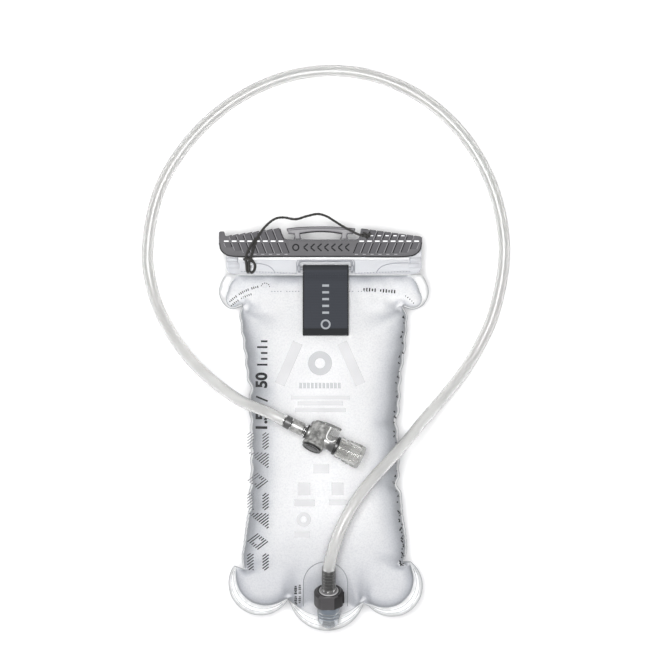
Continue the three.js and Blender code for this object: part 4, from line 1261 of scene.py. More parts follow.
def print_marks():
    strong, faint = hatched_figures()
    dark = list(strong)
    dark.append(placed(lettering("1.5", 12.0, 0.45), -47.4, 5.0, 90))
    dark.append(stroke((-43.0, 21.0), (-52.0, 24.6), 1.3))
    dark.append(placed(lettering("50", 12.0, 0.45), -47.4, 37.0, 90))
    for y, tall in ((49.0, 8.0), (53.5, 5.0), (58.0, 5.0), (62.5, 8.0), (67.0, 5.0)):
        dark.append(stroke((-43.2, y), (-43.2 - tall, y), 1.4))
    dark += arc_marks([(31.0, 106.9), (44.0, 106.0), (56.7, 105.0)], 2.1, 2.7, 1.05)
    dark += arc_marks([(-72.2, 97.6), (-66, 102.5), (-58, 106.8), (-49.3, 109.3)], 1.5, 1.7, 0.72)
    dark += arc_marks([(-71.0, 94.5), (-65, 99.0), (-59, 102.0), (-52.8, 104.0)], 1.6, 1.5, 0.66)
    dark += [stroke((-44.9 + 3.4 * math.cos(t), 108.4 + 3.4 * math.sin(t)),
                    (-44.9 + 3.4 * math.cos(t + 0.24), 108.4 + 3.4 * math.sin(t + 0.24)), 0.6)
             for t in np.arange(0.1, 3.0, 0.5)]
    dark += arc_marks([(63.0, 101.8), (66.0, 99.6), (69.0, 96.6), (71.3, 92.8)], 2.0, 1.0, 0.6)
    dark += right_edge_marks()
    dark += arc_marks([(-21.6, -121.6), (-21.6, -129.0), (-21.4, -136.4)], 1.35, 2.2, 1.0)
    dark += arc_marks([(-18.4, -120.6), (-18.4, -128.0), (-18.6, -135.6)], 1.5, 2.0, 0.9)
    obj = drape("scale_print", *gather(dark), lift=0.12, thickness=0.08)
    finish_piece(obj, "reservoir", "film", INK)
    obj = drape("scale_print_faint", *gather(faint), lift=0.12, thickness=0.08)
    finish_piece(obj, "reservoir", "film", FAINT_INK)
    pale = [stroke((-40.5 + 2.3 * i, 105.4), (-39.4 + 2.3 * i, 105.4), 0.6) for i in range(33) if i % 6 != 4]
    obj = drape("fill_line_print", *gather(pale), lift=0.12, thickness=0.08)
    finish_piece(obj, "reservoir", "film", PALE_INK)


print_marks()


def rear_artwork():
    """Large faint print on the rear panel that shows through the frosted film."""
    shapes = [placed(ring_outline(9.2, 4.0), -2.8, 50.2, 0)]
    shapes += [stroke((x, 31.0), (x, 35.2), 2.2) for x in np.arange(-17.6, 13, 2.95)]
    drawn = drape("rear_artwork", *gather(shapes), lift=0.05, thickness=0.05, longest=3.0)
    finish_piece(drawn, "reservoir", "film", GHOST_INK)
    shapes = [stroke((-25 + reach, y), (20 - reach, y), 3.0) for y, reach in ((24.0, 0), (19.4, 5), (14.3, 3))]
    for side in (-1, 1):
        shapes.append(stroke((-2.8 + side * 17, 66.0), (-2.8 + side * 31, 34.0), 8.0))
    shapes.append(stroke((-8.0, -30.6), (4.2, -30.6), 7.0))
    shapes += [stroke((-22.6, -56.8), (-6.8, -56.8), 5.0), stroke((4.2, -56.4), (17.6, -56.4), 4.2)]
    shapes += [stroke((x - 4.6, -46.0), (x + 4.6, -46.0), 9.5) for x in (-14.8, 10.6)]
    shapes.append(placed(ring_outline(5.6, 2.6), -15.4, -69.5, 0))
    shapes.append(stroke((-22.4, -81.0), (-10.6, -81.0), 4.6))
    faint = drape("rear_artwork_faint", *gather(shapes), lift=0.05, thickness=0.05, longest=3.0)
    finish_piece(faint, "reservoir", "film", GHOST_FAINT)


rear_artwork()


PATCH_X, PATCH_HALF, PATCH_LOW, PATCH_HIGH = 1.4, 17.3, -139.0, -119.3


def patch_outline(half):
    top = arc(PATCH_X, PATCH_HIGH, half, 0, 180, 36)
    low = PATCH_LOW + PATCH_HALF - half
    left = [(PATCH_X - half, y) for y in np.linspace(PATCH_HIGH - 2, low, 8)]
    right = [(PATCH_X + half, y) for y in np.linspace(low, PATCH_HIGH - 2, 8)]
    return top + left + right


def port_patch():
    """The welded patch under the port, with the thin bead round its arch."""
    outline = patch_outline(PATCH_HALF)
    loop = np.array(outline)
    grid = np.array([(x, y) for x in np.arange(-18, 22, 1.8) for y in np.arange(-140, -100, 1.8)])
    grid = grid[inside(grid, loop) & (distance_to(grid, loop) > 1.0)]
    edges = [(i, (i + 1) % len(loop)) for i in range(len(loop))]
    points, _, faces, *_ = delaunay_2d_cdt([Vector(p) for p in np.vstack([loop, grid])], edges, [], 1, 1e-4)
    patch = drape("port_patch_film", [tuple(p) for p in points], faces, lift=0.55, thickness=0.4, longest=6)
    finish_piece(patch, "reservoir", "film", FILM, "port_patch")
    arch = arc(PATCH_X, PATCH_HIGH, PATCH_HALF - 0.3, 0, 180, 48)
    side = np.linspace(PATCH_HIGH - 1, PATCH_LOW + 2, 10)
    rim = [(arch[0][0], y) for y in side[::-1]] + arch + [(arch[-1][0], y) for y in side]
    bead = sweep("port_patch_bead", [(x, y, film_z(x, y) + 0.55) for x, y in rim], 0.3, sides=8)
    finish_piece(bead, "reservoir", "film", EDGE_GREY)


# ---------- rails ----------
WINDOW_X = (LOOP_X - LOOP_WIDTH / 2 - 1.8, LOOP_X + LOOP_WIDTH / 2 + 1.8)
WINDOW_Y = (119.9, 128.6)
LOOP_BAR = tuple(c / MM for c in JOINTS["strap_swing"]["pos_m"])[1:]


def rail_outline():
    left, right, low = RAIL_X[0], RAIL_X[1], MOUTH_Y + 0.3
    points = arc(left + 6, low + 6, 6, 270, 180, 8)
    points += [(left, RAIL_TOP_Y), (right, RAIL_TOP_Y)]
    return points + arc(right - 6, low + 6, 6, 360, 270, 8)


def rail(side):
    """One half of the clear rail: front (1) has the window for the hang loop."""
    face = SEAM_Z + side * HALF_GAP
    back = face + side * RAIL_T
    crest = back + side * BEAD
    low, high = sorted((face, back))
    name = "front_rail_clear" if side > 0 else "rear_rail_clear"
    plate = prism(name, rail_outline(), low, high, bevel=0.45)
    low, high = sorted((face + side * 0.2, crest))
    bead = box_object("bead", (RAIL_X[0] + 0.2, BEAD_Y, low), (RAIL_X[1] - 0.2, RAIL_TOP_Y - 0.2, high), bevel=0.4)
    parts = [bead]
    # Stepped tabs at both ends.
    low, high = sorted((back - side * 0.3, back + side * 0.55))
    for x0, x1 in ((RAIL_X[0] + 0.5, RAIL_X[0] + 8.8), (RAIL_X[1] - 8.8, RAIL_X[1] - 0.5)):
        parts.append(box_object("tab", (x0, 127.9, low), (x1, 131.5, high), bevel=0.25))
        shift = 1.5 if x0 < 0 else -1.5
        parts.append(box_object("tab", (x0 + shift, 123.0, low), (x1 + shift, 127.3, high - side * 0.15), bevel=0.25))
    combine(plate, parts, "UNION")
    hole = rod("hole", 1.7, 9, ROW @ Matrix.Translation((*EYELET, SEAM_Z)))
    cuts = [hole]
    if side > 0:
        cuts.append(box_object("window", (WINDOW_X[0], WINDOW_Y[0], SEAM_Z - 1), (WINDOW_X[1], WINDOW_Y[1], 40)))
    combine(plate, cuts, "DIFFERENCE")
    return plate


def rounded_box_path(x0, x1, y0, y1, corner):
    """An arch: up the left side, over the top and down the right side."""
    points = [(x0, y0)] + arc(x0 + corner, y1 - corner, corner, 180, 90, 6)
    return points + arc(x1 - corner, y1 - corner, corner, 90, 0, 6) + [(x1, y0)]


def rails():
    front = rail(1)
    finish_piece(front, "reservoir", "clear_rail", RAIL, "front_rail")
    finish_piece(rail(-1), "reservoir", "clear_rail", RAIL, "rear_rail")
    top = SEAM_Z + HALF_GAP + RAIL_T
    # A raised strip on the rail under the closure, in a brighter clear colour: painted highlight.
    low, high = (RAIL_X[0] + 9.5, 129.9, top - 0.3), (RAIL_X[1] - 9.5, 131.6, top + 0.55)
    lip_highlight = box_object("front_rail_lip_painted_highlight", low, high, bevel=0.25)
    finish_piece(lip_highlight, "reservoir", "clear_rail", RAIL_LIP_HIGHLIGHT)
    frame_path = rounded_box_path(WINDOW_X[0] - 1.0, WINDOW_X[1] + 1.0, MOUTH_Y + 1.2, WINDOW_Y[1] + 0.5, 2.4)
    outer_path = rounded_box_path(WINDOW_X[0] - 2.9, WINDOW_X[1] + 2.9, MOUTH_Y + 1.2, WINDOW_Y[1] + 1.7, 3.4)
    threads = [
        sweep("window_rim", [(x, y, top) for x, y in frame_path], 0.85, sides=10),
        sweep("window_rim_outer", [(x, y, top) for x, y in outer_path], 0.3, sides=8),
    ]
    for side in (-1, 1):
        flat_arc = [(40.5, 119.8), (42.2, 122.4), (45, 124.6), (51, 126.6), (58, 127.2), (65, 127.3)]
        flat_arc = [(LOOP_X + side * (x - LOOP_X), y) for x, y in flat_arc]
        threads.append(sweep("rail_arc", smooth_route([(x, y, top) for x, y in flat_arc]), 0.28, sides=8))
        dots = [(LOOP_X + side * (22.5 + 2.3 * i), MOUTH_Y + 0.9 + 0.075 * i) for i in range(19)]
        threads += [sweep("dot", [(x, y, top), (x + side * 1.3, y + 0.05, top)], 0.32, sides=8) for x, y in dots]
    for x in (RAIL_X[0] + 8.9, RAIL_X[1] - 8.9):
        threads.append(sweep("tab_line", [(x, MOUTH_Y + 5, top), (x, 131.5, top)], 0.3, sides=8))
    along_x = ROW @ Matrix.Translation((LOOP_X, *LOOP_BAR)) @ Matrix.Rotation(math.pi / 2, 4, "Y")
    bar = rod("loop_bar", 1.2, 21.2, along_x)
    cheeks = []
    for x in (WINDOW_X[0] - 2.4, WINDOW_X[1]):
        y, z = LOOP_BAR
        cheeks.append(box_object("cheek", (x, y - 2.2, SEAM_Z + 1), (x + 2.4, y + 2.2, z + 1.5), bevel=0.5))
    trim = merge("front_rail_trim", threads + [bar] + cheeks)
    finish_piece(trim, "reservoir", "clear_rail", RAIL_EDGE)
    film_hem = box_object("film_hem", (-67.5, 117.6, SEAM_Z - 1.0), (67.5, 118.6, SEAM_Z + 1.3), bevel=0.3)
    finish_piece(film_hem, "reservoir", "film", WELD)


# ---------- slide closure ----------
RIBS_PER_WING = 8
# Each wing: side, first panel's middle, pitch.
WINGS = [(-1, 30.8, 6.0), (1, 27.1, 6.05)]
RIB_LEAN = 0.4
RIB_MID_Y = 139.0
UPPER_ROW_Y = 148
UPPER_ROW_END = 72
LEDGE_Y = 144.0
SLIDER_TOP = SEAM_Z + SLIDER_HALF_T


def wing_top(x):
    """Height of a wing's top edge at x."""
    if x < 0:
        return 148.0 + (154.2 - 148.0) * (x + 75.2) / (75.2 - 33.6)
    return 147.6 + (154.0 - 147.6) * (SLIDER_RIGHT - x) / (SLIDER_RIGHT - 28.8)


def serrated(x0, x1):
    """The wing's top edge with one small step per rib."""
    points = []
    for i in range(RIBS_PER_WING):
        a = x0 + (x1 - x0) * i / RIBS_PER_WING
        b = x0 + (x1 - x0) * (i + 1) / RIBS_PER_WING
        points += [(a + 0.3, wing_top(a) - 0.15), (b - 0.9, wing_top(b) + 0.1), (b - 0.3, wing_top(b) - 0.7)]
    return points


def slider_outline():
    left, right, low, waist = SLIDER_LEFT, SLIDER_RIGHT, SLIDER_BOTTOM_Y, SLIDER_WAIST_Y
    points = [(left + 0.9, 151.5), (left, 150.6), (left, 142)]
    points += curve([(left, 142), (-79.2, 136.8), (-75.2, 133.4), (-69, low)])[1:]
    points += curve([(64, low), (70.4, 133.5), (74.4, 137.4), (right, 143)])
    points += [(right, 147.4)]
    points += serrated(29.4, right - 0.4)[::-1]
    points += curve([(28.7, 153.6), (28.1, 149.6), (27.0, 146.4), (24.4, waist)])
    points += curve([(-28, waist), (-30.4, 146.4), (-32.0, 149.6), (-33.2, 153.6)])
    points += serrated(-75.2, -33.6)[::-1]
    return points + [(-75.9, 148.6), (-76.3, 150.6), (-77.0, 151.5)]


def wing_panels():
    """The middle of each ribbed panel at mid height, with its half width and side."""
    for side, start, pitch in WINGS:
        for i in range(RIBS_PER_WING):
            yield side, side * (start + i * pitch), pitch / 2 - 0.55


def slanted_quad(side, x, half, low, high):
    """A panel between two slanted ribs."""
    def at(y):
        return x + side * RIB_LEAN * (y - RIB_MID_Y)

    return [(at(low) - half, low), (at(low) + half, low), (at(high) + half, high), (at(high) - half, high)]


def corner_rise(x):
    """How far a panel's lower end is lifted by the closure's rounded corners."""
    return max(0.0, abs(x) - 62) * 0.42


def upper_row_top(side, x):
    """The wing's edge over a panel of the short row, or None where it has no room."""
    over = x + side * RIB_LEAN * (UPPER_ROW_Y - RIB_MID_Y)
    if abs(over) >= UPPER_ROW_END or abs(over - TETHER_HOLE[0]) <= 4:
        return None
    return min(wing_top(over - 2.2), wing_top(over + 2.2))


def rib_pockets():
    """Recesses between the ribs: a tall row under the ledge and a shorter one over it."""
    pockets, floors = [], []
    for side, x, half in wing_panels():
        low, high = 134.7 + corner_rise(x), 142.9
        pockets.append(prism("pocket", slanted_quad(side, x, half, low, high), SLIDER_TOP - 0.9, SLIDER_TOP + 3))
        quad = slanted_quad(side, x, half - 0.12, low + 0.12, high - 0.12)
        floors.append(prism("floor", quad, SLIDER_TOP - 1.3, SLIDER_TOP - 0.75))
        low, top = 145.1, upper_row_top(side, x)
        if top is not None and top - 0.8 - low > 0.6:
            high = top - 0.8
            quad = slanted_quad(side, x, half - 0.15, low, high)
            pockets.append(prism("pocket", quad, SLIDER_TOP - 1.3, SLIDER_TOP + 3))
            quad = slanted_quad(side, x, half - 0.3, low + 0.12, high - 0.12)
            floors.append(prism("floor", quad, SLIDER_TOP - 1.7, SLIDER_TOP - 1.15))
    return pockets, floors


def rib_edges(toward):
    """A thin rounded line beside each slanted pocket, on its outer (1) or inner (-1) side: the outer lines are painted
    highlight and the inner lines painted shade.
    """
    edges = []
    for side, x, half in wing_panels():
        spans = [(134.9 + corner_rise(x), 142.7)]
        top = upper_row_top(side, x)
        if top is not None:
            spans.append((145.2, top - 0.9))
        for span in spans:
            line = [(x + side * (RIB_LEAN * (y - RIB_MID_Y) + toward * (half + 0.1)), y, SLIDER_TOP) for y in span]
            edges.append(sweep("rib_edge", line, 0.3, sides=8))
    return edges


def closure_outline_lines():
    """A dark line along the closure's lower edge, where it overhangs the rail: painted shadow."""
    low = SLIDER_BOTTOM_Y + 0.15
    edge = [(-80.2, 142.4), (-78.9, 137.2), (-75.0, 133.7), (-69, low), (-30, low), (20, low),
            (64, low), (70.2, 133.8), (74.1, 137.5), (75.3, 143.0)]
    return sweep("closure_edge", smooth_route([(x, y, SLIDER_TOP - 0.35) for x, y in edge], 5), 0.5, sides=8)


def slider_bar():
    """The slide closure: a channel that grips both rails' beads, with ribs and marks on its front."""
    throat = RAIL_T + HALF_GAP + 0.4
    cavity = throat + BEAD
    roof = RAIL_TOP_Y + 0.4
    end_wall = SLIDER_LEFT + 3.6
    body = prism("slide_closure", slider_outline(), SEAM_Z - SLIDER_HALF_T, SLIDER_TOP, bevel=0.7)
    pockets, floors = rib_pockets()
    cuts = [
        box_object("throat", (end_wall, SLIDER_BOTTOM_Y - 2, SEAM_Z - throat), (86, roof, SEAM_Z + throat)),
        box_object("cavity", (end_wall, BEAD_Y - 0.4, SEAM_Z - cavity), (86, roof, SEAM_Z + cavity)),
        merge("pockets", pockets),
        rod("hole", 1.5, 15, ROW @ Matrix.Translation((*TETHER_HOLE, SEAM_Z))),
        box_object("name_panel", (-26.5, 134.4, SLIDER_TOP - 0.35), (24.0, 143.6, SLIDER_TOP + 2)),
    ]
    combine(body, cuts, "DIFFERENCE")
    finish_piece(body, "slider", "grey_plastic", GREY, "slider_bar")
    # The pocket floors take a slightly lighter copy of the closure's grey: painted light in the recesses.
    finish_piece(merge("slide_closure_panels", floors), "slider", "grey_plastic", PANEL_GREY_PAINTED_LIGHT)
    # Light lines beside the pockets: painted highlight.
    finish_piece(merge("slide_closure_rib_highlights", rib_edges(1)), "slider", "grey_plastic", RIB_HIGHLIGHT_GREY)
    # Dark lines beside the pockets and along the lower edge: painted shade and painted shadow.
    lines = merge("slide_closure_shade_lines", rib_edges(-1) + [closure_outline_lines()])
    finish_piece(lines, "slider", "grey_plastic", MARK_AND_SHADE_DARK)
    dashes, ticks = [], []

    def mark(x, y, half_x, half_y, sunk=0.0):
        top = SLIDER_TOP + 0.3 - sunk
        return box_object("mark", (x - half_x, y - half_y, top - 1.0), (x + half_x, y + half_y, top), bevel=0.15)

    for side, x, half in wing_panels():
        dashes.append(mark(x + side * 2.1, LEDGE_Y, 1.85, 0.5))
        if abs(x) < 62:
            ticks.append(mark(x - side * 1.9, 133.9, 1.3, 0.22, 0.22))
        if side > 0 and 31 < x < 60:
            dashes.append(mark(x + 3.6, LEDGE_Y + 4.2, 1.4, 0.4, 0.9))
    # The pale dashes are painted highlight on the ledge.
    finish_piece(merge("slide_closure_ledge", dashes), "slider", "grey_plastic", LEDGE_HIGHLIGHT_PALE)
    finish_piece(merge("slide_closure_ticks", ticks), "slider", "grey_plastic", TICK_GREY)
    arrows = gather(arrow_row(-21.5, 139.2, 5.6, 7))
    marks = flat_solid("slide_closure_marks", *arrows, SLIDER_TOP - 0.5, SLIDER_TOP - 0.05)
    finish_piece(marks, "slider", "grey_plastic", MARK_AND_SHADE_DARK)


def arrow_row(x, y, tall, count):
    """A ring and a row of arrow heads that point the way the closure slides off."""
    shapes = [placed(ring_outline(tall / 2, tall / 3.2), x, y, 0)]
    for i in range(count):
        tip = x + tall * (1.1 + 0.95 * i)
        shapes.append(stroke((tip, y + 0.15), (tip + tall * 0.55, y + tall / 2), 1.0))
        shapes.append(stroke((tip, y - 0.15), (tip + tall * 0.55, y - tall / 2), 1.0))
    return shapes


def flat_solid(name, vertices, faces, low, high, matrix=ROW):
    """A flat shape given a thickness from low to high."""
    bm = flat_bmesh(vertices, faces, low)
    out = bmesh.ops.extrude_face_region(bm, geom=bm.faces[:])
    for v in out["geom"]:
        if isinstance(v, bmesh.types.BMVert):
            v.co.z = high
    bmesh.ops.recalc_face_normals(bm, faces=bm.faces)
    bm.transform(matrix)
    obj = object_from(name, bm)
    shade(obj, 32)
    return obj


def pull_handle():
    """The arched handle between the closure's wings."""
    foot = SLIDER_WAIST_Y + 0.3
    under = curve([(-18.2, 149.9), (-10, 151.0), (-2, 151.4), (6, 151.0), (13.8, 149.9)], 6)
    over = curve([(24.8, 153.9), (14, 155.0), (-2, 155.5), (-18, 155.0), (-28.8, 153.9)], 8)
    outline = [(-23.6, foot), (-16.6, foot), (-17.9, foot + 1.6)] + under
    outline += [(13.5, foot + 1.6), (12.2, foot), (19.2, foot), (18.0, foot + 1.6), (18.4, 149.6), (22.8, 149.4)]
    outline += over + [(-27.0, 149.4), (-22.8, 149.6), (-22.4, foot + 1.6)]
    handle = prism("pull_handle_arch", outline, 25, 33, bevel=0.9)
    line = [(x, y - 1.75, 33.1) for x, y in over]
    combine(handle, [sweep("groove", line[2:-2], 0.35, sides=8)], "DIFFERENCE")
    # The handle takes a lighter copy of the closure's grey: painted light.
    finish_piece(handle, "slider", "grey_plastic", HANDLE_GREY_PAINTED_LIGHT, "pull_handle")
    # A dark line under the arch: painted shade.
    shade_lines = sweep("pull_handle_shade_lines", [(x, y - 0.15, 32.7) for x, y in under], 0.35, sides=8)
    finish_piece(shade_lines, "slider", "grey_plastic", MARK_AND_SHADE_DARK)


# ---------- hang loop ----------
def loop_path():
    """The webbing's closed path round the bar in (y, z), and the line of its upper face."""
    bar_y, bar_z = LOOP_BAR
    inner, slack = 1.6, 0.7
    middle = np.array(smooth_route([
        (bar_y, bar_z), (119.8, 35.3), (116.5, 37.2), (113, 39.7), (106, 42.6),
        (98, 46.7), (88, 51.5), (80, 55.4), (72.9, 58.5),
    ], 5))
    along = np.gradient(middle, axis=0)
    along /= np.linalg.norm(along, axis=1)[:, None]
    normal = right_of(along)
    steps = np.linspace(0, 1, len(middle))
    swell = (inner - slack) * (1 - smoothstep(0, 0.14, steps))
    half = slack + LOOP_STRAP / 2
    upper = middle - normal * (half + swell)[:, None]
    lower = middle + normal * (half + swell)[:, None]
    if upper[0][1] < lower[0][1]:
        upper, lower = lower, upper
    reach = inner + LOOP_STRAP / 2
    wrap = [(bar_y + reach * math.cos(a), bar_z + reach * math.sin(a)) for a in np.radians(np.linspace(-62, 62, 9))]
    end, last = middle[-1], along[-1]
    fold = [tuple(end + last * (0.75 * half * math.sin(a)) + normal[-1] * half * -math.cos(a))
            for a in np.radians((30, 60, 90, 120, 150))]
    path = wrap + [tuple(p) for p in upper[1:]] + fold + [tuple(p) for p in lower[:0:-1]]
    return np.array(path), upper


def webbing_section():
    """Across the webbing: thin edges, a selvedge on each side and a flat middle."""
    w, t = LOOP_WIDTH / 2, LOOP_STRAP / 2
    section = [(-w, 0.0), (-w + 0.35, t), (-w + 1.6, t), (-w + 2.0, t * 0.86)]
    section += [(x, t * 0.9) for x in np.linspace(-w + 3, w - 3, 11)]
    section += [(w - 2.0, t * 0.86), (w - 1.6, t), (w - 0.35, t), (w, 0.0)]
    return section + [(x, -y) for x, y in section[-2:0:-1]]


def hang_loop():
    """Doubled webbing hung on the bar: a flat band swept round its closed path."""
    path, top = loop_path()
    out = right_of(around(path))
    section = webbing_section()
    vertices, faces, n = [], [], len(section)
    for p, o in zip(path, out):
        for x, thick in section:
            vertices.append((LOOP_X + x, p[0] + o[0] * thick, p[1] + o[1] * thick))
    for i in range(len(path)):
        a, b = i * n, ((i + 1) % len(path)) * n
        for k in range(n):
            m = (k + 1) % n
            faces.append((a + k, a + m, b + m, b + k))
    strap = make_object("hang_loop_webbing", vertices, faces, sharp=50)
    finish_piece(strap, "strap", "webbing", WEBBING, "hang_loop")
    stitches(top)
    marking(top)


def on_strap(top, along_y):
    """Height of the strap's upper face at a given y."""
    order = np.argsort(top[:, 0])
    return float(np.interp(along_y, top[order, 0], top[order, 1])) + LOOP_STRAP / 2


# One stitch seen from the side: across the strap, and up from its face.
STITCH = [(-0.7, -0.12), (-0.3, 0.12), (0.3, 0.12), (0.7, -0.12)]


def stitches(top):
    threads = []
    for y in (118.6, 116.4):
        for i in range(17):
            x = LOOP_X - 15.6 + i * 1.95
            z = on_strap(top, y) + 0.02
            hump = [(x + across, y, z + rise) for across, rise in STITCH]
            threads.append(sweep("stitch", hump, 0.17, sides=6))
    finish_piece(merge("hang_loop_stitches", threads), "strap", "webbing", THREAD)


def marking(top):
    """A ring and a row of bars in pale ink that run up the strap."""
    shapes = [placed(ring_outline(3.8, 2.5), LOOP_X, 80.0, 0)]
    for i in range(5):
        y = 89.0 + 5.2 * i
        shapes.append(stroke((LOOP_X - 2.6, y), (LOOP_X + 2.6, y), 1.7))
    vertices, faces = gather(shapes)
    bm = flat_bmesh(vertices, faces)
    bmesh.ops.triangulate(bm, faces=bm.faces[:])
    for _ in range(3):
        bmesh.ops.subdivide_edges(bm, edges=[e for e in bm.edges if e.calc_length() > 2], cuts=1)
        bmesh.ops.triangulate(bm, faces=bm.faces[:])
    for v in bm.verts:
        v.co.z = on_strap(top, v.co.y) + 0.06
    bm.transform(ROW)
    obj = object_from("hang_loop_mark", bm)
    add_shell(obj, 0.1)
    finish_piece(obj, "strap", "webbing", LOOP_INK)


# ---------- outlet port ----------
COLLAR_H, COLLAR_R = 12.0, 11.3
SOCKET_R, SOCKET_BALL = 8.6, -26.0
NECK_R, NECK_TOP = 7.4, -3.6
PORT_BORE = 5.6
SOCKET_RINGS = (-22.6, -19.9)


def round_end(radius, centre, steps):
    return [(radius * math.sin(a), centre - radius * math.cos(a)) for a in np.linspace(0, math.pi / 2, steps)]


def port_base():
    """Clear socket with a round end, its moulded rings, and the foot welded to the patch."""
    outer = round_end(SOCKET_R, SOCKET_BALL, 18)
    outer[0] = (0, SOCKET_BALL - SOCKET_R)
    for at in SOCKET_RINGS:
        outer += [(SOCKET_R, at - 0.9), (SOCKET_R - 0.5, at - 0.6), (SOCKET_R - 0.5, at + 0.6), (SOCKET_R, at + 0.9)]
    outer += [(SOCKET_R, -COLLAR_H - 0.3), (NECK_R, -COLLAR_H - 0.3), (NECK_R, NECK_TOP), (PORT_BORE, NECK_TOP)]
    bore = [(PORT_BORE, -24.4), (4, -24.4), (4, -25.6), (5, -25.6), (5, -31.9), (0, -31.9)]
    socket = lathe("port_socket", outer + bore, PORT, 72)
    finish_piece(socket, "reservoir", "socket", SOCKET_CLEAR, "port_base")
    bands = [
        band("band", SOCKET_R - 0.6, SOCKET_R + 0.15, at - 0.6, at + 0.6, 0.1, 0.15, PORT, 72)
        for at in SOCKET_RINGS
    ]
    bands.append(band("band", SOCKET_R, SOCKET_R + 0.12, -17.6, -13.0, 0.2, 0.1, PORT, 72))
    finish_piece(merge("port_socket_rings", bands), "reservoir", "socket", SOCKET_BAND)
    bed = 14.6
    foot = [(6.4, 4.5), (6.9, bed - 2.6), (8.6, bed - 0.6), (9.0, bed)]
    foot = [(-6.4, 4.5)] + foot + [(-x, y) for x, y in foot[:0:-1]]
    foot = prism("port_foot", foot, -25.0, -COLLAR_H - 1.4, PORT, bevel=0.5)
    finish_piece(foot, "reservoir", "socket", SOCKET_CLEAR)
    plate = prism("port_foot_plate", oval(11.5, 15.5, 40), 0, 1.0, foot_plane(), bevel=0.3)
    finish_piece(plate, "reservoir", "socket", SOCKET_CLEAR)


def oval(a, b, steps):
    return [(a * math.cos(t), b * math.sin(t)) for t in np.linspace(0, 2 * math.pi, steps, endpoint=False)]


def foot_plane():
    """A frame lying on the patch under the port, with its z axis out of the film."""
    out_of_film = PORT.to_3x3() @ Vector((0, -1, 0))
    return frame_matrix(PORT @ Vector((0, 15.6, -19.0)), (1, 0, 0), out_of_film)


# Corners of the collar's outline: a wide flat in front, a slanted one on each side of it.
COLLAR_CORNERS = [
    (-8.3, -9.6), (4.2, -9.6), (11.0, -4.4), (11.0, 4.4), (6.5, 11.0), (-6.5, 11.0), (-11.3, 5.5), (-11.3, -3.4),
]


def collar_section(radius, corners):
    """The corners' outline, rounded off where it would leave the circle."""
    points = []
    for a, b in zip(corners, corners[1:] + corners[:1]):
        for t in np.linspace(0, 1, 14, endpoint=False):
            p = Vector(a).lerp(Vector(b), t)
            points.append(tuple(p * min(1, radius / p.length)))
    return points


def port_collar():
    """Dark collar: round at its rim, faceted below, with a pocket for the release button."""
    body = prism("port_collar_shell", collar_section(COLLAR_R, COLLAR_CORNERS), -COLLAR_H, -0.2, PORT, bevel=0.5)
    clear = COLLAR_R + 1.2
    trim = lathe("trim", [(0, -20), (clear, -20), (clear, -3.4), (9.4, -0.2), (9.4, 2), (0, 2)], PORT, 96)
    combine(body, [trim], "INTERSECT")
    cuts = [
        lathe("hole", [(0, -20), (7.7, -20), (7.7, -3.2), (8.7, -3.2), (8.7, 5), (0, 5)], PORT, 72),
        box_object("pocket", (8.4, -3.9, -10.4), (20, 3.9, -3.4), PORT),
    ]
    combine(body, cuts, "DIFFERENCE")
    finish_piece(body, "reservoir", "dark_plastic", DARK, "port_collar")
    # Faces turned to the right get a near-black copy and faces turned to the left a darker copy of the collar's colour:
    # painted shade.
    body.data.materials.append(DARK_NYLON_RIGHT_SHADE)
    body.data.materials.append(DARK_NYLON_LEFT_SHADE)
    for polygon in body.data.polygons:
        if abs(polygon.normal.x) > 0.5:
            polygon.material_index = 1 if polygon.normal.x > 0 else 2
    ring = band("port_collar_ring", 7.35, 8.69, -2.8, -0.6, 0, 0.1, PORT, 72)
    finish_piece(ring, "reservoir", "dark_plastic", SEAL)


def release_button():
    """The ribbed button in the collar's pocket."""
    half, low, high = 3.6, -10.1, -3.7
    side = PORT @ Matrix(((0, 0, 1, 0), (1, 0, 0, 0), (0, 1, 0, 0), (0, 0, 0, 1)))
    cap = box_object("release_button_cap", (-half, low, 10.0), (half, high, 11.9), side, bevel=0.4)
    grooves = [
        sweep("groove", [(12.0, -2.9, s), (12.0, 0, s), (12.0, 2.9, s)], 0.35, sides=8, matrix=PORT)
        for s in (-8.4, -6.9, -5.4)
    ]
    combine(cap, grooves, "DIFFERENCE")
    # The button faces right and takes the near-black copy: painted shade.
    finish_piece(cap, "button", "dark_plastic", DARK_NYLON_RIGHT_SHADE, "release_button")


# ---------- plug on the tube's end ----------
BARBS = 6


def barb(start, end, root, ridge, count):
    """A hose barb's profile: each ridge rises steeply and falls slowly."""
    pitch = (end - start) / count
    points = []
    for i in range(count):
        at = start + i * pitch
        points += [(root, at), (root + 0.1, at + 0.1 * pitch), (ridge, at + 0.3 * pitch),
                   (ridge, at + 0.42 * pitch), (root, at + 0.95 * pitch)]
    return points


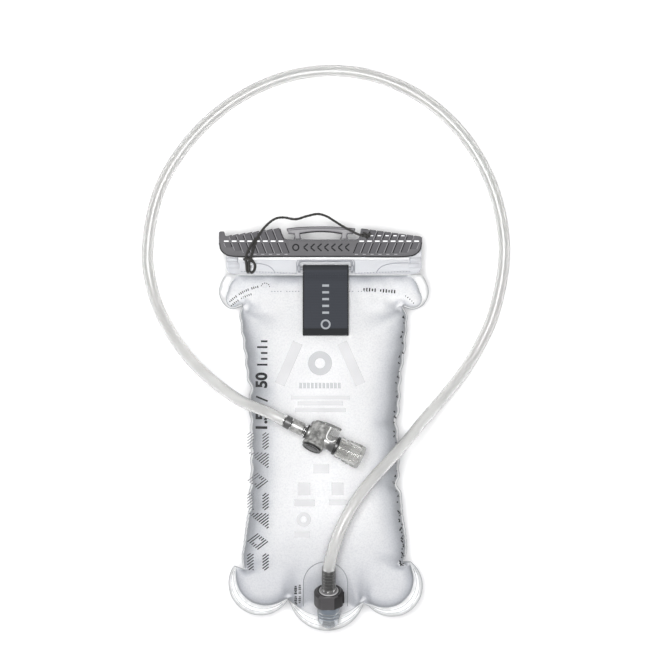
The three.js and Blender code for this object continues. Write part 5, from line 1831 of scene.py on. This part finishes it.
def plug():
    """The tube's plug: grooves for two O-rings, a flange and the barb."""
    bore = 2.3
    profile = [(bore, -27.7), (3.4, -27.7), (3.4, -24.2), (4.9, -24.0)]
    for at in (-22.6, -19.6):
        profile += [(4.9, at - 0.9), (3.9, at - 0.9), (3.9, at + 0.9), (4.9, at + 0.9)]
    profile += [(4.9, -3.0), (7.3, -2.9), (7.3, -0.9), (7.1, -0.3), (6.7, 0.0), (4.8, 0.2)]
    profile += [(3.1, 0.4), (3.1, 1.5), (bore, 1.5)]
    body = lathe("plug_body_turned", profile, PORT, 64)
    finish_piece(body, "hose", "dark_plastic", FLANGE_GREY, "plug_body")
    # A light grey ring on the flange's edge: painted highlight.
    rim = rounded([(6.75, -0.5), (7.3, -0.5), (7.3, 0.0), (6.75, 0.15)], 0.08)
    flange_highlight = lathe("plug_flange_painted_highlight", rim, PORT, 72)
    finish_piece(flange_highlight, "hose", "dark_plastic", FLANGE_RIM_HIGHLIGHT)
    tail = [(bore, 1.4)] + barb(1.6, BARB_END, 3.3, 4.0, BARBS) + [(3.2, BARB_END), (bore, BARB_END)]
    tail = lathe("plug_barb", tail, PORT, 64)
    finish_piece(tail, "hose", "dark_plastic", BARB_ROOT)
    # Lighter rings on the barb's crests: painted highlight.
    crest_highlights = ridge_rings("plug_barb_crest_highlights", 1.6, BARB_END, PORT)
    finish_piece(crest_highlights, "hose", "dark_plastic", BARB_CREST_HIGHLIGHT)
    return [body, flange_highlight, tail, crest_highlights]


def ridge_rings(name, start, end, matrix):
    """A lighter ring on the crest of each barb: painted highlight."""
    pitch = (end - start) / BARBS
    rings = []
    for i in range(BARBS):
        at = start + (i + 0.36) * pitch
        rings.append(band("ridge", 3.85, 4.05, at - 0.35, at + 0.35, 0.05, 0.05, matrix, 48))
    return merge(name, rings)


# ---------- shut-off valve ----------
BARREL_R, BARREL_HALF = 8.4, 9.0
CAP_INNER, CAP_OUTER = 9.3, 10.8


def valve_body():
    """The barrel that the spool turns in, on a neck that ends in a barb."""
    spool_bore, bore = 5.55, 2.2
    barrel = lathe("shutoff_valve_body", rounded([
        (0, -BARREL_HALF), (BARREL_R, -BARREL_HALF), (BARREL_R, -7.0), (BARREL_R - 0.35, -6.7),
        (BARREL_R - 0.35, 6.6), (BARREL_R, 6.9), (BARREL_R, BARREL_HALF), (0, BARREL_HALF),
    ], 0.35), VALVE_ALONG_Y, 72)
    neck = lathe("neck", rounded([
        (0, VALVE_BARB[1] - 0.6), (3.1, VALVE_BARB[1] - 0.6), (3.1, VALVE_BARB[1]), (5.35, VALVE_BARB[1] + 0.1),
        (5.35, -8.0), (4.7, -7.6), (5.2, -4), (5.2, 0), (5.6, 2), (5.6, 10.5), (6.3, 14.9), (7.1, 15.1),
        (7.1, 17.4), (4.6, 17.4), (4.6, 26.0), (0, 26.0),
    ], 0.3), VALVE_ALONG_X, 64)
    combine(barrel, [neck], "UNION")
    cuts = [
        rod("spool_bore", spool_bore, 20, VALVE_ALONG_Y, 56),
        rod("water_bore", bore, 40, VALVE_ALONG_X),
    ]
    combine(barrel, cuts, "DIFFERENCE")
    finish_piece(barrel, "hose", "valve_plastic", VALVE_GREY, "valve_body")
    barrel.data.materials.append(VALVE_SHADE)
    to_valve = VALVE.inverted()
    for polygon in barrel.data.polygons:
        if (to_valve @ polygon.center).x > BARREL_R + 0.6:
            polygon.material_index = 1
    return [barrel] + valve_tail(bore) + valve_trim()


def valve_tail(bore):
    """The barb on the tube's side, and the sleeves that clamp the tube onto it."""
    profile = [(bore, VALVE_BARB[0]), (2.7, VALVE_BARB[0])]
    profile += barb(VALVE_BARB[0] + 0.4, VALVE_BARB[1], 2.6, 3.14, BARBS)
    profile += [(3.0, VALVE_BARB[1]), (bore, VALVE_BARB[1])]
    tail = lathe("valve_barb", profile, VALVE_ALONG_X, 56)
    finish_piece(tail, "hose", "valve_plastic", VALVE_DARK)
    sleeve = band("barb_sleeve", 4.68, 5.0, -27.5, -22.3, 0.3, 0.1, VALVE_ALONG_X)
    finish_piece(sleeve, "hose", "valve_plastic", VALVE_SHADE)
    collar = band("barb_sleeve_clear", 4.68, 4.95, -21.6, -12, 0.2, 0.1, VALVE_ALONG_X)
    finish_piece(collar, "hose", "valve_plastic", VALVE_GREY)
    return [tail, sleeve, collar]


def valve_trim():
    """Raised pips on the barrel and the dark bands at both ends of the neck."""
    raised = []
    for x, y in ((-4.4, -4.2), (-0.6, -4.4), (-4.2, 0.2), (-0.4, 0.1), (2.6, -1.6), (-2.4, 4.0)):
        height = math.sqrt((BARREL_R - 0.35) ** 2 - x * x)
        low, high = (x - 1.1, y - 1.3, height - 0.6), (x + 1.1, y + 1.3, height + 0.6)
        raised.append(box_object("pip", low, high, VALVE, bevel=0.25))
    raised = merge("valve_raised_marks", raised)
    finish_piece(raised, "hose", "valve_plastic", VALVE_GREY)
    bands = [
        band("band", 7.1, 7.35, 15.0, 17.4, 0.2, 0.1, VALVE_ALONG_X),
        band("band", 5.35, 5.58, -9.6, -8.3, 0.2, 0.1, VALVE_ALONG_X),
    ]
    bands = merge("valve_dark_bands", bands)
    finish_piece(bands, "hose", "valve_plastic", VALVE_DARK)
    return [raised, bands]


def valve_spool():
    """The turning plug of the valve, with the dark cap that closes its lower end."""
    radius, pin, end = 5.45, 3.4, 11.2
    profile = [(0, -CAP_INNER), (radius, -CAP_INNER)]
    for at in (-6.3, 6.3):
        profile += [(radius, at - 0.6), (4.5, at - 0.6), (4.5, at + 0.6), (radius, at + 0.6)]
    profile += [(radius, BARREL_HALF), (pin, BARREL_HALF + 0.05), (pin, end), (0, end)]
    spool = lathe("valve_spool_core", rounded(profile, 0.2), VALVE_ALONG_Y, 56)
    combine(spool, [rod("bore", 2.4, 20, VALVE_ALONG_X)], "DIFFERENCE")
    finish_piece(spool, "shutoff", "dark_plastic", DARK, "valve_spool")
    cap = lathe("valve_spool_cap", rounded([
        (0, -CAP_OUTER), (4.6, -CAP_OUTER), (5.0, -CAP_OUTER + 0.35), (6.0, -CAP_OUTER + 0.35), (6.4, -CAP_OUTER),
        (7.6, -CAP_OUTER), (7.6, -CAP_INNER), (0, -CAP_INNER),
    ], 0.25), VALVE_ALONG_Y, 64)
    finish_piece(cap, "shutoff", "dark_plastic", VALVE_DARK)
    return [spool, cap]


def valve_lever():
    """Clear lever: a cheek over the barrel's upper end and a paddle along its side."""
    low, high = BARREL_R + 0.5, BARREL_R + 2.2
    cheek = arc(0, 0, 6.4, 115, 320, 30)
    cheek += [(9.8, 1.6), (14.1, 7.9), (14.5, 8.9), (14.3, 10.2), (13.6, high), (5.5, high), (1.5, 8.6)]
    pin_hole = arc(0, 0, 3.9, 360, 12, 28)
    side = VALVE @ Matrix(((1, 0, 0, 0), (0, 0, -1, 0), (0, 1, 0, 0), (0, 0, 0, 1)))
    lever = prism("valve_lever_clear", cheek, -CAP_OUTER, -CAP_INNER, side, holes=(pin_hole,), bevel=0.25)
    foot = -2.6
    outline = [(5.7, CAP_OUTER - 0.2), (5.7, foot + 2.0)] + arc(7.7, foot + 2.0, 2.0, 180, 270, 6)
    outline += arc(12.3, foot + 2.2, 2.2, 270, 360, 6) + [(14.5, CAP_OUTER - 0.2)]
    paddle = prism("paddle", outline[::-1], low, high, VALVE, bevel=0.45)
    # A pale rod along the paddle's edge: painted highlight.
    rim = sweep("valve_lever_painted_highlight", [(x, y, high + 0.1) for x, y in smooth_route(
        [(6.3, 8.4), (6.3, 0.4), (7.9, -1.8), (11.9, -1.8), (13.7, 0.4)], 6)], 0.5, sides=8, matrix=VALVE)
    grips = [
        box_object("grip", (x - 0.3, 0.6, high - 0.3), (x + 0.3, 8.6, high + 0.4), VALVE, bevel=0.2)
        for x in (8.6, 10.1, 11.6)
    ]
    combine(lever, [paddle] + grips, "UNION")
    finish_piece(lever, "shutoff", "clear_plastic", LEVER_CLEAR, "valve_lever")
    finish_piece(rim, "shutoff", "clear_plastic", LEVER_EDGE_HIGHLIGHT)
    return [lever, rim]


def bite_valve():
    """The silicone sleeve with its slit, and the ring that holds it on the neck."""
    retainer = lathe("bite_retainer_ring", rounded([
        (4.7, 17.8), (6.2, 17.8), (6.2, 27.0), (5.6, 27.6), (4.7, 27.6), (4.7, 17.8),
    ], 0.25), VALVE_ALONG_X, 56)
    finish_piece(retainer, "bite", "clear_plastic", LEVER_CLEAR, "bite_retainer")
    outer = [(6.4, 18.0), (7.9, 18.0), (8.2, 18.6), (8.2, 20.6), (7.6, 21.0), (7.6, 21.6), (8.1, 22.1), (8.1, 23.0),
             (7.6, 23.3), (7.7, 23.8), (8.6, 24.4), (8.8, 27.0), (8.4, 27.4), (8.9, 27.8), (9.15, 34.4), (9.2, 35.4),
             (8.9, 36.9), (8.2, 37.9), (5.0, 38.5), (0, 38.5)]
    shell = lathe("bite_valve_sleeve", rounded(outer, 0.3) + [(0, 36.3), (6.0, 35.2), (6.4, 34.6)], VALVE_ALONG_X, 72)
    cuts = [box_object("slit", (30, -0.3, -4.5), (40, 0.3, 4.5), VALVE)]
    for angle in (35, 100, 160, 235, 310):
        turn = VALVE @ Matrix.Rotation(math.radians(angle), 4, "X")
        cuts.append(box_object("notch", (31.8, -1.5, 8.1), (34.6, 1.5, 12), turn))
        cuts.append(box_object("notch", (24.9, -1.1, 8.0), (26.4, 1.1, 12), turn))
    combine(shell, cuts, "DIFFERENCE")
    ribs = []
    for k in range(10):
        angle = 2 * math.pi * k / 10
        c, s = math.cos(angle), math.sin(angle)
        ribs.append(sweep("rib", [(x, 8.8 * c, 8.8 * s) for x in (28.4, 30.0, 31.4)], 0.4, sides=8, matrix=VALVE))
    combine(shell, ribs, "UNION")
    finish_piece(shell, "bite", "silicone", SILICONE, "bite_valve")
    return [retainer, shell]


# ---------- how the tether is tied ----------
def knot(name, centre, radius, direction, turns, body, node):
    """A tied knot: the cord wound in a few crossing turns, with two short tails."""
    forward = Vector(direction).normalized()
    side = forward.cross(Vector((0, 0, 1))).normalized()
    up = side.cross(forward)
    centre = Vector(centre)
    route = []
    steps = 26 * turns
    for i in range(steps + 1):
        t = i / steps
        angle = 2 * math.pi * turns * t
        along = radius * 1.15 * math.sin(2 * math.pi * t) + 0.5 * math.sin(3 * angle)
        swell = radius * (0.62 + 0.3 * math.sin(math.pi * t))
        route.append(centre + forward * along + side * (swell * math.cos(angle)) + up * (swell * 0.8 * math.sin(angle)))
    strands = [sweep(name, route, 0.85, sides=10)]
    for end, lean in ((-1, 0.5), (-1, -0.6)):
        reach = [radius * k for k in (0.3, 1.0, 1.7, 2.1)]
        tail = [centre + forward * (end * r) + side * (lean * r * 0.7) for r in reach]
        strands.append(sweep("tail", tail, 0.8, sides=10))
    near = radius * 0.6
    core = [(0, -radius), (near, -near), (radius * 0.72, 0), (near, near), (0, radius)]
    core = lathe("core", core, ROW @ Matrix.Translation(centre), 24)
    finish_piece(merge(name, strands + [core]), body, "cord", BRAID, node)


def rail_tie():
    """The tether's knot at the rail: a hitch through the eyelet with one open loop."""
    routes = [
        [(-60.3, 130.8, 36.4), (-59.6, 128.0, 34.9), (-59.3, 124.0, 33.7), (-58.9, 120.9, 33.2), (-57.6, 119.6, 33.0)],
        [(-56.6, 130.4, 36.2), (-57.5, 127.6, 35.1), (-57.5, 124.0, 34.1), (-57.1, 121.0, 33.2), (-56.2, 119.7, 32.9)],
        [(-57.4, 129.0, 34.8), (-55.0, 128.7, 34.5), (-53.2, 126.7, 33.9), (-52.9, 123.8, 33.3),
         (-54.0, 120.8, 33.0), (-56.2, 119.5, 32.9)],
        [(-61.5, 129.8, 35.4), (-59.2, 130.6, 36.7), (-56.4, 130.1, 37.0), (-54.6, 128.9, 35.9)],
    ]
    strands = [sweep("tether_rail_tie", smooth_route(route, 6), 1.0, sides=12) for route in routes]
    finish_piece(merge("tether_rail_tie", strands), "reservoir", "cord", BRAID, "tether_rail_knot")
    tail = [(-60.2, 130.6, 37.0), (-59.0, 134.4, 38.0), (-56.8, 138.8, 38.2),
            (-54.0, 143.4, 38.2), (-52.2, 146.4, 37.9)]
    tail = sweep("tether_tail", smooth_route(tail, 6), 0.85, sides=12)
    finish_piece(tail, "reservoir", "cord", BRAID)


def slider_tie():
    """The tether's knot at the slide closure."""
    low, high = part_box("tether_slider_knot")
    middle = [(a + b) / 2 / MM for a, b in zip(low, high)]
    knot("tether_slider_tie", middle, 1.7, (1, -0.2, 0), 2, "slider", "tether_slider_knot")


port_patch()
rails()
slider_bar()
pull_handle()
hang_loop()
port_base()
port_collar()
release_button()
plug_pieces = plug()
valve_pieces = valve_body() + valve_spool() + valve_lever() + bite_valve()
rail_tie()
slider_tie()

dress_node("button_spring", STEEL)
dress_node("poppet_spring", STEEL)
dress_node("poppet", VALVE_DARK)
for node in ("poppet_seal", "plug_o_ring_1", "plug_o_ring_2", "spool_o_ring_1", "spool_o_ring_2"):
    dress_node(node, SEAL)


# ---------- floor and light ----------
def area_light(name, place, size, power, target, color=(1, 1, 1)):
    data = bpy.data.lights.new(name, "AREA")
    data.shape = "RECTANGLE"
    data.size, data.size_y = size
    data.energy = power
    data.color = color
    light = bpy.data.objects.new(name, data)
    light.location = place
    light.rotation_euler = (Vector(target) - Vector(place)).to_track_quat("-Z", "Y").to_euler()
    bpy.context.collection.objects.link(light)


def floor():
    mesh = bpy.data.meshes.new("floor")
    half = 3.0
    mesh.from_pydata([(-half, -half, 0), (half, -half, 0), (half, half, 0), (-half, half, 0)], [], [(0, 1, 2, 3)])
    obj = bpy.data.objects.new("floor", mesh)
    obj.location.z = -0.0004
    bpy.context.collection.objects.link(obj)
    n = Nodes("pale_floor")
    n.set(Roughness=0.9, Specular_IOR_Level=0.1)
    grain = n.noise(3, detail=2)
    n.paint(grain, [(0.3, (0.93, 0.93, 0.93)), (0.7, (0.95, 0.95, 0.95))])
    mesh.materials.append(n.material)


def studio():
    """A pale world, a key light over the object and a weaker, larger fill."""
    scene = bpy.context.scene
    scene.view_settings.view_transform = "Standard"
    scene.view_settings.look = "None"
    world = bpy.data.worlds.new("studio")
    world.use_nodes = True
    background = world.node_tree.nodes["Background"]
    background.inputs["Color"].default_value = (0.90, 0.90, 0.91, 1)
    background.inputs["Strength"].default_value = 0.30
    scene.world = world
    middle = (0, 0.02, 0.03)
    area_light("key", (-0.10, 0.10, 2.1), (0.9, 0.9), 50, middle)
    area_light("fill", (-0.1, -0.6, 2.3), (1.8, 1.8), 13, middle)


floor()
studio()
